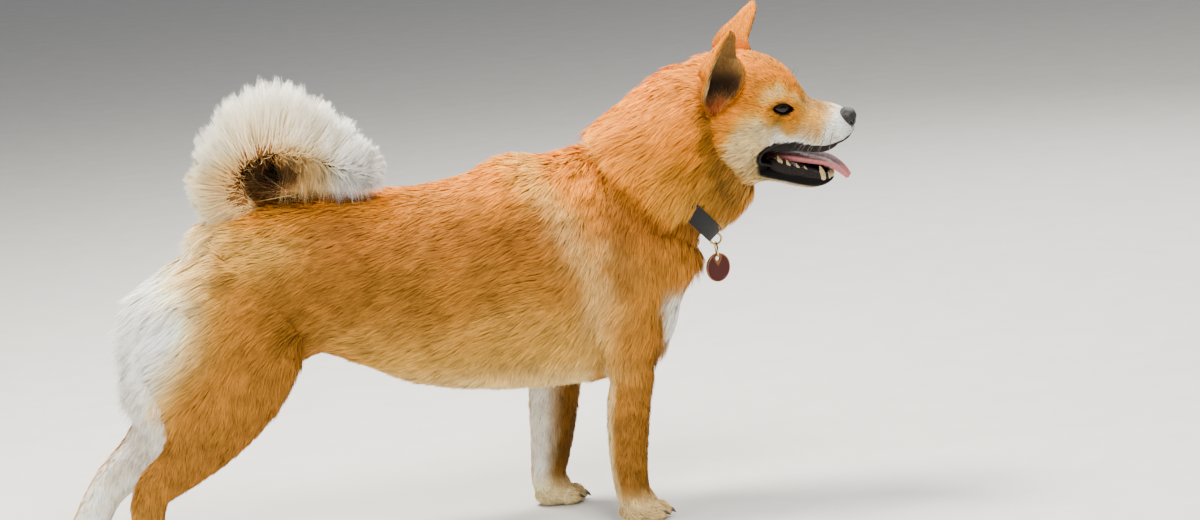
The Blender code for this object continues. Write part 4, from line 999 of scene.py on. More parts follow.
class Markings:
    """The dog's markings, with painted shade in places, as functions of place, shared by the skin
    and the coat.
    """

    def torso(self, s: Site) -> Array:
        """Red body, brighter along the back, pale under the belly, white on chest and breeches,
        dark hair and painted shade under the curl of the tail.
        """
        x, y, z = s.p.T
        warp = 14 * value_noise(s.p / 34, 3)
        loose = 10 * value_noise(s.p / 17, 4)
        trunk = 1 - smooth(-45, 5, s.past_hip)
        streak = bump(0, 22, x - np.interp(z, *STREAK) + 0.7 * warp + loose) * smooth(165, 240, z)
        edge = np.interp(z, *BREECHES) - np.where(s.side > 0, 16 * smooth(330, 260, z), 0)
        soft = np.interp(z, (170, 260), (0.35, 1.0))
        near, in_front = (x - edge + warp) / soft, (x - edge + warp * 0.7) / soft
        high = smooth(130, 175, z)
        return paint(
            plain(Tone.RED, len(x)),
            (Tone.BROWN, 0.38 * bump(-95, 75, x) * bump(285, 60, z + warp)),
            (Tone.BROWN, 0.35 * bump(60, 38, x + warp) * bump(320, 42, z)),
            (Tone.BROWN, 0.28 * bump(-188, 30, x + warp) * bump(238, 55, z)),
            (Tone.RUST, 0.75 * smooth(-200, -140, x) * bump(338, 40, z + warp)),
            (Tone.ORANGE, smooth(330, 382, z + warp)),
            (Tone.TAN, 0.8 * bump(-200, 46, x + warp) * bump(332, 26, z)),
            (Tone.TAN, 0.85 * smooth(272, 200, z + warp) * smooth(170, 120, x) * trunk),
            (Tone.CREAM, 0.8 * smooth(205, 155, z) * smooth(190, 120, x) * trunk),
            (Tone.CREAM, 0.46 * streak),
            (Tone.RUST, 0.6 * bump(176, 22, x + loose) * bump(345, 30, z)),
            (Tone.BROWN, 0.3 * bump(170, 14, x + loose) * bump(300, 60, z)),
            (Tone.WHITE, smooth(194, 222, x + warp * 0.6) * smooth(268, 240, z + 0.5 * warp)),
            (Tone.TAN, 0.6 * smooth(60, 10, near) * high),
            (Tone.CREAM, 0.9 * smooth(30, -10, in_front) * high),
            (Tone.WHITE, smooth(4, -26, in_front) * high),
            (Tone.CREAM, smooth(26, 12, np.abs(y)) * smooth(-150, -200, x) * smooth(300, 260, z)),
            # Dark under the curl of the tail: partly dark hair, partly painted shade.
            (Tone.DARK, 0.95 * s.under_curl()))

    def legs(self, s: Site, c: Array) -> Array:
        """Orange outside, pale behind and inside, brown with painted shade on the front of the
        forelegs' inner faces, cream toes.
        """
        x, _, z = s.p.T
        warp = 10 * value_noise(s.p / 20, 7)
        low = smooth(190, 150, z)
        facing = -s.n[:, 1] * s.side
        fore = (x > 0) & (z < 215) & (s.on_leg() > 0.5)
        hind = (x < -120) & (s.past_hip > -20)
        inner = smooth(0.05, 0.5, facing) * smooth(260, 190, z)
        inner = inner * np.where(fore, smooth(0.35, -0.35, s.n[:, 0]), 1)
        return paint(
            c,
            (Tone.RED, fore * low),
            (Tone.BROWN, fore * 0.5 * smooth(170, 90, z + warp)),
            (Tone.BROWN, (fore & (facing < 0)) * 0.35 * bump(150, 14, z + warp)),
            (Tone.CREAM, fore * 0.8 * smooth(-0.45, -0.85, s.n[:, 0]) * low),
            (Tone.RED, hind * 0.9 * smooth(176, 140, z + warp)),
            (Tone.BROWN, hind * 0.35 * smooth(250, 120, z + warp)),
            (Tone.TAN, hind * 0.4 * smooth(100, 50, z)),
            # Brown on the front of the forelegs' inner faces: partly the legs' own darker hair,
            # partly painted shade between the legs.
            (Tone.BROWN, fore * 0.6 * smooth(0.1, 0.7, facing) * low),
            (Tone.WHITE, (fore | hind) * 0.9 * inner),
            (Tone.CREAM, 0.85 * smooth(52, 20, z)))

    def neck(self, s: Site) -> Array:
        """Orange nape, tan mottled sides, a paler throat."""
        x, _, z = s.p.T
        warp = 12 * value_noise(s.p / 26, 5)
        mottle = smooth(0.0, 0.6, value_noise(s.p / 15, 6)) * bump(352, 34, z)
        return paint(
            plain(Tone.ORANGE, len(x)),
            (Tone.TAN, 0.6 * smooth(400, 350, z + warp)),
            (Tone.RED, 0.5 * bump(330, 28, z + warp) * smooth(255, 285, x)),
            (Tone.BROWN, 0.28 * mottle),
            (Tone.CREAM, 0.55 * smooth(332, 292, z + warp)),
            (Tone.CREAM, 0.5 * smooth(10, 0, s.past_collar) * smooth(0.35, 0.7, s.n[:, 2])))

    def lips(self, s: Site) -> Array:
        """The share of black along the lips, narrow towards the nose."""
        x, lower = s.h[:, 0], s.below_gape()
        above = smooth(4.2, 2.4, s.gape / np.interp(x, (84, 104), (1, 0.4)))
        band = np.where(lower, smooth(14.5, 11, s.gape), above) * smooth(38, 44, x)
        return band * smooth(134, 128, np.where(lower, 0, x))

    def head(self, s: Site) -> Array:
        """Orange crown, pale cheeks and muzzle, spots over the eyes, black lips and lids."""
        x, y, z = s.h.T
        warp = 5 * value_noise(s.p / 12, 9)
        above = z - (np.interp(x, *CHEEK) + 0.9 * warp)
        white = smooth(2, -12, above) * smooth(50, 70, x + warp) + 0.8 * smooth(108, 136, x + warp)
        bridge, stop = smooth(22, 8, np.abs(y)), smooth(14, 6, np.abs(y))
        return paint(
            plain(Tone.ORANGE, len(x)),
            (Tone.BROWN, 0.3 * spot(s, (60, 38, 455), 14)),
            (Tone.RED, 0.5 * smooth(8, -30, x + warp) * smooth(440, 400, z)),
            (Tone.TAN, 0.75 * smooth(84, 100, x + warp)),
            (Tone.DUN, 0.8 * smooth(80, 98, x + warp) * bridge),
            (Tone.FAWN, 0.7 * smooth(16, 2, above) * smooth(76, 92, x)),
            (Tone.TAN, 0.7 * smooth(16, 0, above) * smooth(10, 30, x) * smooth(92, 76, x)),
            (Tone.CREAM, 0.95 * smooth(6, -9, above) * smooth(2, 26, x + warp)),
            (Tone.WHITE, white),
            (Tone.TAN, 0.7 * smooth(392, 362, z + warp) * smooth(52, 24, x)),
            *((Tone.CREAM, share * spot(s, *where)) for *where, share in BROW_SPOTS),
            (Tone.BROWN, 0.6 * spot(s, (72, 40, 418), 5)),
            (Tone.RED, 0.6 * stop * bump(64, 22, x) * smooth(455, 470, z)),
            (Tone.CREAM, 0.7 * smooth(352, 338, z)),
            (Tone.BLACK, self.lips(s)),
            (Tone.BLACK, smooth(1.42, 1.12, s.eye_distance())),
            (Tone.GUM, s.in_mouth().astype(float)))

    def ears(self, s: Site) -> Array:
        """Orange-red backs, cups darkened deep inside by painted shade, and a pale band of hair
        along the rear rim.
        """
        x, y, z = s.h.T
        rear = smooth(59, 67, np.abs(y)) * smooth(449, 457, z) * smooth(24, 12, x)
        back = paint(plain(Tone.ORANGE, len(x)), (Tone.RED, 0.6 * smooth(470, 430, z)))
        # Painted shade deep in the cup.
        cup = paint(plain(Tone.CUP, len(x)), (Tone.DARK, 0.85 * bump(461, 15, z)),
                    (Tone.LOBE, 0.85 * smooth(453, 441, z)), (Tone.CREAM, 0.75 * rear),
                    (Tone.RED, 0.55 * smooth(30, 40, x) * smooth(450, 466, z)))
        return np.where((s.ear > 1.5)[:, None], cup, back)

    def at(self, s: Site) -> Array:
        """The markings at some places, as display colours.

        Args:
            s: The places.

        Returns:
            N x 3 colours.
        """
        c = self.legs(s, self.torso(s))
        c = c + (self.neck(s) - c) * smooth(-6, 6, s.past_collar)[:, None]
        c = c + (self.head(s) - c) * s.head()[:, None]
        x, y, z = s.h.T
        # Painted shade in the fold behind the cheek, and a broader painted shade on the neck behind
        # it.
        behind = x - np.interp(z, *FOLD) + 3 * value_noise(s.p / 12, 9)
        sides = smooth(30, 48, np.abs(y)) * smooth(316, 345, z)
        c = paint(c, (Tone.BROWN, 0.75 * bump(0, 7, behind) * sides * smooth(476, 456, z)),
                  (Tone.BROWN, 0.38 * bump(-16, 17, behind) * sides * smooth(425, 385, z)))
        c = np.where((s.tail < 5)[:, None] & (s.p[:, 2:] > 352), Tone.TAIL_SKIN.value, c)
        c = np.where((s.ear > 0)[:, None], self.ears(s), c)
        patch = 1 + 0.10 * value_noise(s.p / 9, 21) + 0.08 * value_noise(s.p / 24, 22)
        return np.clip(c * patch[:, None], 0, 1)


# ---------------------------------------------------------------- the skin
@dataclass
class Skin:
    """One skin over the whole dog, inside the nodes of flesh by the depth of the coat."""

    voxel: float = 2.4
    faces: int = 180000
    fine_share: float = 0.9
    outer_voxel: float = 4.0
    floor: float = 0.05  # the lowest that the skin lies
    lid_steps: int = 14
    lid_cut: tuple[float, float] = (5.5, 26.0)  # along the eye's axis
    eye_gap: float = 0.2
    ear_thickness: float = 2.4
    ear_foot: float = 425.0  # height in the head's frame, no cut of an ear lies below it
    cut_gap: float = 0.6  # how near to a cut the skin counts as its wall
    # The skin takes the markings at half brightness: painted shade of the coat's depth where the
    # skin shows between the tufts.
    finish: MarkedFinish = MarkedFinish("skin", depth=0.5, relief=0.5)
    scoops: list[BVHTree] = field(default_factory=list)

    def torso(self, inset: float) -> Piece:
        """The trunk, drawn in by a share of the coat."""
        d = TORSO_COAT * inset
        rings = [egg((x, 0, w), (0, 1, 0), (0, 0, 1), half - d, top - d - w, w - bottom - d)
                 for x, top, bottom, half, w in resample(TORSO, 3)]
        return loft("trunk", np.array(rings))

    def neck(self, inset: float) -> Piece:
        """The neck along its own axis."""
        d = NECK_COAT * inset
        rings = []
        for x, z, pitch, above, below, half in resample(NECK, 3):
            up = (-math.sin(math.radians(pitch)), 0, math.cos(math.radians(pitch)))
            rings.append(egg((x, 0, z), (0, 1, 0), up, half - d, above - d, below - d))
        return loft("neck_form", np.array(rings))

    def head_form(self, table: Table, inset: float) -> Piece:
        """The skull or the jaw from upright sections."""
        rings = []
        for x, top, bottom, half, w, fullness, coat in resample(table, 3):
            d = min(coat * inset, half * 0.4)
            sizes = (half - d, top - w - d, w - bottom - d, fullness, 56)
            rings.append(from_head(egg((x, 0, w), (0, 1, 0), (0, 0, 1), *sizes)))
        return loft("head_form", np.array(rings))

    def leg(self, table: Table, side: int, inset: float) -> Piece:
        """A leg lofted along its bones."""
        rows = resample(table, 3)
        points = np.stack((rows[:, 0], side * rows[:, 4], rows[:, 1]), axis=1)
        rings = []
        for i, (_, z, long, wide, _) in enumerate(rows):
            run = heading(points[:, [0, 2]], i)
            fore = (-run[1], 0, run[0])
            d = inset * float(np.interp(z, (30, 230), (LEG_COAT[1], LEG_COAT[0])))
            rings.append(egg(points[i], (0, 1, 0), fore, wide - d, long - d, long - d))
        return loft("leg_form", np.array(rings))

    def tail(self) -> Piece:
        """The tail's core."""
        rows = resample(TAIL, 3)
        line = resample(tail_line().tolist(), 3)
        return tube("tail_core", line, np.maximum(rows[:, 2], 2.0), 20)

    def paw(self, name: str, inset: float) -> list[Piece]:
        """The pad and four arched toes of one foot."""
        x, y, long, wide = PAWS[name]
        d = PAW_COAT * inset
        pieces = [ball("pad", shift(x - 3, y, 12), (long - 3 - d, wide - 1 - d, 15 - d))]
        for across, ahead in TOES:
            middle = shift(x + ahead * long, y + across * wide, 9.5)
            pieces.append(ball("toe", middle, (13.5 - d, wide * 0.31 - 0.5 * d, 11.5 - d)))
        return pieces

    def forms(self, inset: float) -> list[Piece]:
        """Every form of the body, drawn in by a share of the coat."""
        pieces = [self.torso(inset), self.neck(inset), self.head_form(SKULL, inset),
                  self.head_form(LOWER_JAW, inset)]
        for name, table in LEGS.items():
            pieces.append(self.leg(table, 1 if name.endswith("left") else -1, inset))
            pieces += self.paw(name, inset)
        return pieces

    def open_mouth(self, body: Piece) -> None:
        """Cut the gape and the palate, and the hollow of the skull in each ear."""
        boolean(body, prism("gape", GAPE, GAPE_HALF_WIDTH), "DIFFERENCE")
        boolean(body, prism("palate", PALATE, PALATE_HALF_WIDTH), "DIFFERENCE")
        for side in (-1, 1):
            sheet = self.ear_sheet(side, 12)
            wide = np.stack((sheet[:, -1], sheet[:, 0]), axis=1) * (1, 0, 1) + (0, side * 100.0, 0)
            rings = np.concatenate((sheet, wide), axis=1)
            scoop = loft("scoop", from_head(rings.reshape(-1, 3)).reshape(rings.shape))
            self.scoops.append(surface_tree(scoop))
            boolean(body, scoop, "DIFFERENCE")

    def lids(self, body: Piece) -> None:
        """Lids over each eye, parted by an almond."""
        turn = np.pi * np.arange(2 * self.lid_steps) / self.lid_steps
        along = -np.cos(turn)
        rise = (1 - along ** 2) ** 0.75 * LID_HEIGHT * np.where(turn < np.pi, 0.55, -0.45)
        rim = np.stack((0 * turn, along * LID_WIDTH / 2, rise), axis=1)
        for side in (-1, 1):
            lid, socket = (ball("lid", eye_frame(side), np.add(EYE_HALF, wider), 40, 24)
                           for wider in (LID_THICKNESS, self.eye_gap))
            boolean(body, lid, "UNION")
            rings = np.array([rim + (depth, 0, 0) for depth in self.lid_cut])
            boolean(body, loft("opening", carry(rings, eye_frame(side))), "DIFFERENCE")
            boolean(body, socket, "DIFFERENCE")

    def ear_sheet(self, side: int, columns: int) -> Array:
        """The middle of an ear's wall in the head's frame, rows from the foot to the tip."""
        rows = resample([np.ravel(row) for row in EAR], 3)
        u = np.linspace(0, 1, columns)[:, None]
        sheet = []
        for row in rows:
            row = row.copy()
            row[:2] += np.array(EAR_FRONT_PULL[side]) * bump(471, 15, row[2])
            front, back, rear = (row[k:k + 3] * (1, side, 1) for k in (0, 3, 6))
            back = back + (front + (rear - front) * 0.3 - back) * EAR_SLACK[side]
            pull = 2 * back - (front + rear) / 2
            sheet.append(front * (1 - u) ** 2 + pull * 2 * u * (1 - u) + rear * u * u)
        return np.array(sheet)

    def ear(self, side: int) -> Piece:
        """One ear as a cupped leaf with a wall, its two faces told apart."""
        columns = 18
        sheet = self.ear_sheet(side, columns)
        up = np.gradient(sheet, axis=0)
        across = np.gradient(sheet, axis=1)
        out = np.cross(across, up)
        out /= np.linalg.norm(out, axis=2, keepdims=True)
        middle = out[len(out) // 2, columns // 2]
        if middle @ (sheet[len(out) // 2, columns // 2] - sheet[len(out) // 2].mean(0)) < 0:
            out = -out
        half = out * self.ear_thickness / 2
        count = sheet.shape[0] * columns
        points = np.concatenate((sheet + half, sheet - half)).reshape(-1, 3)
        faces = []
        last = sheet.shape[0] - 1
        for r in range(last):
            for k in range(columns - 1):
                a, b = r * columns + k, (r + 1) * columns + k
                faces.append((a, a + 1, b + 1, b))
                faces.append((count + a, count + b, count + b + 1, count + a + 1))
            for k in (0, columns - 1):
                a, b = r * columns + k, (r + 1) * columns + k
                faces.append((a, b, count + b, count + a))
        for r in (0, last):
            for k in range(columns - 1):
                a = r * columns + k
                faces.append((a, a + 1, count + a + 1, count + a))
        obj = new_mesh("ear", from_head(points), faces)
        store_values(obj.data, "ear", np.repeat((1.0, 2.0), count))
        return obj

    def thin(self, obj: Piece) -> None:
        """Fewer faces on the plain flanks than on the head."""
        group = obj.vertex_groups.new(name="plain")
        fine = to_head(points_of(obj))[:, 0] > 20
        group.add(np.flatnonzero(fine).tolist(), self.fine_share, "REPLACE")
        group.add(np.flatnonzero(~fine).tolist(), 1.0, "REPLACE")
        step = obj.modifiers.new("thin", "DECIMATE")
        step.ratio = min(1.0, self.faces / (2 * len(obj.data.polygons)))
        step.vertex_group = group.name
        step.vertex_group_factor = 1.0
        apply_modifiers(obj)
        obj.vertex_groups.clear()

    def trim(self, obj: Piece) -> None:
        """Draw in the rump below the tail and the chest below the collar."""
        points = points_of(obj)
        x, _, z = points.T
        rump = np.interp(z, *RUMP_TRIM) * smooth(-232, -300, x)
        rump *= smooth(2, 14, tail_distance(points))
        chest = np.interp(z, *CHEST_TRIM) * smooth(188, 226, x)
        points[:, 0] += rump - chest
        set_points(obj, points)

    def build(self) -> tuple[Piece, BVHTree, BVHTree]:
        """The skin, and two trees in millimetres.

        Returns:
            The skin without its finish, a tree of the surface where the coat's tips lie, and a tree
            of the skin before the mouth is opened.
        """
        outer = join("outer", self.forms(0.0))
        melt(outer, self.outer_voxel, 3)
        self.trim(outer)
        tree = surface_tree(outer)
        remove(outer)
        body = join("skin", self.forms(1.0) + [self.tail()])
        melt(body, self.voxel, 4)
        self.trim(body)
        self.thin(body)
        closed = surface_tree(body)
        self.open_mouth(body)
        self.lids(body)
        points = points_of(body)
        points[:, 2] = np.maximum(points[:, 2], self.floor)
        set_points(body, points)
        wall = np.zeros(len(points))
        for k in np.flatnonzero(to_head(points)[:, 2] > self.ear_foot):
            where = points[k].tolist()
            if any(scoop.find_nearest(where, self.cut_gap)[0] for scoop in self.scoops):
                wall[k] = 3.0
        store_values(body.data, "ear", wall)
        return join("skin", [body, self.ear(-1), self.ear(1)]), tree, closed

    def unwrap(self, obj: Piece) -> None:
        """Lay the skin out flat on its own map."""
        make_active(obj)
        bpy.ops.object.mode_set(mode="EDIT")
        bpy.ops.mesh.select_all(action="SELECT")
        bpy.ops.uv.smart_project(angle_limit=math.radians(66), island_margin=0.001)
        bpy.ops.object.mode_set(mode="OBJECT")
        obj.data.uv_layers.active.name = "OFBake"


# ---------------------------------------------------------------- the coat
@dataclass
class Tufts:
    """Arrays that describe many tufts, one row each, in millimetres."""

    root: Array
    normal: Array
    bend: Array
    tip: Array
    broad: Array
    width: Array
    root_colour: Array
    tip_colour: Array
    uv: Array

    def pick(self, rows: Array) -> "Tufts":
        """The tufts of some rows."""
        return Tufts(*(getattr(self, name)[rows] for name in self.__dataclass_fields__))


@dataclass
class CoatMesh:
    """Makes one piece of coat from arrays of tufts."""

    steps: tuple[float, ...] = (0.0, 0.34, 0.7)
    swell: tuple[float, ...] = (0.75, 1.0, 0.72)
    patch: float = 0.003  # of the map, for each tuft
    softness: float = 0.72  # share of the skin's normal in a tuft's

    def build(self, name: str, tufts: Tufts) -> Piece:
        """A mesh of flat tapered tufts that bend over.

        Args:
            name: Name of the piece.
            tufts: What each tuft is like.

        Returns:
            The piece, with its markings, their painted shade and its map.
        """
        count, rows = len(tufts.root), len(self.steps)
        corners = 2 * rows + 1
        run = unit(tufts.tip - tufts.root)
        face = unit(np.cross(tufts.broad, run))
        sign = np.where(np.sum(face * tufts.normal, axis=1, keepdims=True) < 0, -1.0, 1.0)
        face, broad = face * sign, tufts.broad * sign
        points = np.empty((count, corners, 3))
        share = np.empty(corners)
        for r, (t, swell) in enumerate(zip(self.steps, self.swell)):
            here = tufts.root * (1 - t) ** 2 + tufts.bend * 2 * t * (1 - t) + tufts.tip * t * t
            half = broad * (tufts.width * swell / 2)[:, None]
            points[:, 2 * r] = here - half
            points[:, 2 * r + 1] = here + half
            share[2 * r:2 * r + 2] = t
        points[:, -1] = tufts.tip
        share[-1] = 1.0
        pattern = [(2 * r, 2 * r + 1, 2 * r + 3, 2 * r + 2) for r in range(rows - 1)]
        pattern.append((2 * rows - 2, 2 * rows - 1, 2 * rows))
        loops = np.concatenate(pattern)
        sizes = np.array([len(face) for face in pattern])
        mesh = bpy.data.meshes.new(name)
        mesh.vertices.add(count * corners)
        mesh.vertices.foreach_set("co", ((points + ORIGIN) * MM).astype(np.float32).ravel())
        mesh.loops.add(count * len(loops))
        index = (np.arange(count)[:, None] * corners + loops).astype(np.int32).ravel()
        mesh.loops.foreach_set("vertex_index", index)
        mesh.polygons.add(count * len(sizes))
        starts = np.concatenate(((0,), np.cumsum(sizes)[:-1]))
        starts = (np.arange(count)[:, None] * len(loops) + starts).astype(np.int32)
        mesh.polygons.foreach_set("loop_start", starts.ravel())
        mesh.polygons.foreach_set("use_smooth", np.ones(count * len(sizes), bool))
        mesh.update(calc_edges=True)
        tint = blend(tufts.root_colour[:, None], tufts.tip_colour[:, None], share[:, None])
        store_colours(mesh, "marks_and_shade", linear(np.clip(tint.reshape(-1, 3), 0, 1)))
        across = np.append(np.tile((0.0, 1.0), rows), 0.5) - 0.5
        patch = np.stack((across, share - 0.5), axis=1) * self.patch
        uv = (tufts.uv[:, None] + patch[None])[:, loops]
        layer = mesh.uv_layers.new(name="OFBake")
        layer.data.foreach_set("uv", uv.astype(np.float32).ravel())
        soft = unit(tufts.normal * self.softness + face * (1 - self.softness))
        normals = np.repeat(soft, corners, axis=0)
        mesh.normals_split_custom_set_from_vertices(normals.tolist())
        obj = bpy.data.objects.new(name, mesh)
        bpy.context.scene.collection.objects.link(obj)
        return obj


@dataclass
class Fields:
    """How the coat grows at each place of the skin."""

    lie: Array
    length: Array
    lift: Array
    width: Array
    density: Array
    dark_tip: Array


class Growth:
    """The lie, length and thickness of the coat as functions of place."""

    def lie(self, s: Site) -> Array:
        """Direction of the hair, laid onto the surface."""
        x, y, z = s.p.T
        hx, hy, hz = s.h.T
        ones, none = np.ones(len(x)), np.zeros(len(x))
        drop = 0.30 + 0.5 * smooth(310, 372, z) + 0.3 * smooth(220, 170, z)
        drop = drop + 1.6 * bump(145, 34, x) + 1.3 * smooth(150, 190, x)
        drop = drop + 0.7 * smooth(-200, -250, x) * smooth(330, 250, z)
        fore = smooth(215, 165, z) * (np.abs(y) > 22) * (x > 20)
        hind = ((s.past_hip > 0) & (x < -100)) * smooth(270, 190, z)
        nape = np.stack((-0.8 * ones, none, -0.62 - 0.5 * smooth(380, 320, z)), axis=1)
        fall = 0.55 * smooth(440, 380, hz) + 0.9 * smooth(10, -30, hx) * smooth(450, 400, hz)
        face = np.stack((-ones, np.sign(hy) * 0.12, 0.18 - fall), axis=1) @ HEAD[:3, :3].T
        d = np.stack((-ones, none, -drop), axis=1)
        for aim, share in ((FORELEG_LIE, fore), (HINDLEG_LIE, hind),
                           (BREECHES_LIE, smooth(-250, -300, x) * smooth(150, 200, z)),
                           (TOE_LIE, smooth(30, 16, z)), (nape, smooth(-12, 12, s.past_collar)),
                           (face, s.head()), (EAR_LIE @ HEAD[:3, :3].T, s.ear > 0)):
            d = mix(d, aim, share)
        d = unit(d) + 0.22 * noise_vectors(s.p, 38, 31) + 0.12 * noise_vectors(s.p, 13, 35)
        return unit(flat(d, s.n))

    def ragged(self, s: Site) -> Array:
        """Height over the middle of the collar, made uneven by locks."""
        return s.over_collar + 9 * value_noise(s.p / 6, 95)

    def veil(self, s: Site) -> Array:
        """The share of the long hair that falls over the collar."""
        high = smooth(COLLAR_BARE - 4, COLLAR_BARE + 8, self.ragged(s))
        over = bump(10, 24, s.past_collar) * high
        return over * smooth(0.3, 0.6, np.abs(s.n[:, 1])) * (1 - s.head())

    def bare(self, s: Site) -> Array:
        """True where no hair grows: mouth, lips, eyes, nose, soles, ears' openings and collar."""
        hx = s.h[:, 0]
        lips = s.gape < np.where(s.below_gape() & (hx > 40), 12.5, 2.8)
        nose = np.linalg.norm((s.h - NOSE_CENTRE) / (np.array(NOSE_HALF) + 0.6), axis=1) < 1.05
        band = (s.past_collar > -9) & (s.past_collar < 13) & (self.ragged(s) < COLLAR_BARE)
        return (s.in_mouth() | (s.eye_distance() < 1.16) | (s.head() > 0.5) & lips & (hx > 41)
                | nose | (s.tail < 4) | (s.p[:, 2] < 1.5) | (s.ear > 2.5) | (s.cup_gap() < 0.8)
                | band & (s.head() < 0.5))

    def length(self, s: Site, rear: Array, band: Array) -> Array:
        """How long the hair is, apart from its scatter."""
        x, y, z = s.p.T
        hx, _, hz = s.h.T
        legs = smooth(200, 120, z) * ((x > 20) & (np.abs(y) > 20) | (s.past_hip > 0))
        face = 15 - 8.5 * smooth(10, 70, hx) - 2.6 * smooth(72, 96, hx)
        face = face + 9 * smooth(20, -20, hx) * smooth(450, 400, hz)
        long = blend(20 + 8 * smooth(150, 210, x) * smooth(320, 250, z), 27,
                     smooth(-6, 6, s.past_collar))
        long = np.where(z < 34, 6.5, blend(long, 12, legs))
        long = blend(long, face, s.head())
        long = np.where(s.ear > 0, np.where(s.ear > 1.5, 6.0, 5.0), long) + 6 * band
        long = np.minimum(long, np.maximum(5 + 0.8 * s.cup_gap(), 4))
        long = blend(long + 12 * self.veil(s), 46, rear)
        ahead = (self.ragged(s) < COLLAR_BARE) & (s.past_collar > 0) & (s.past_collar < 60)
        short = np.minimum(long, np.maximum(s.past_collar - 8, 6))
        return np.where(ahead & (s.head() < 0.5), short, long)

    def at(self, s: Site) -> Fields:
        """Everything about the growth at some places.

        Args:
            s: The places.

        Returns:
            The fields of the coat there.
        """
        x, _, z = s.p.T
        hx, hy, hz = s.h.T
        head, neck, muzzle = s.head(), smooth(-6, 6, s.past_collar), smooth(72, 96, hx)
        on_ear, in_cup = s.ear > 0, s.ear > 1.5
        rear = smooth(-0.1, -0.6, s.n[:, 0]) * smooth(-235, -262, x) * smooth(150, 196, z)
        band = in_cup * smooth(56, 66, np.abs(hy)) * smooth(446, 456, hz)
        lift = np.where(on_ear, 1.1, np.where(z < 34, 1.6, s.depth * 0.92)) + 1.2 * band
        lift = np.minimum(lift, np.maximum(2 + 0.6 * s.cup_gap(), 1)) + 13 * self.veil(s)
        lift = lift + rear * 9 + 17 * s.under_curl()
        width = blend(1.0 - 0.2 * neck, 0.74 - 0.22 * muzzle, head)
        width = np.where(z < 60, 0.85, np.where(on_ear, 0.7, width))
        density = blend(0.56 + 0.24 * neck, 1.2 + 0.8 * muzzle, head)
        density = np.where(on_ear, np.where(in_cup, 0.8, 1.5), density)
        density = np.where(z < 60, 0.8, density) * (1 + 0.5 * rear)
        density = np.where(self.bare(s), 0, density)
        dark = smooth(200, 260, z) * smooth(392, 340, z) * smooth(150, 60, x)
        dark = 0.5 * dark * smooth(-290, -220, x) * (1 - neck)
        return Fields(self.lie(s), self.length(s, rear, band), lift, width, density, dark)


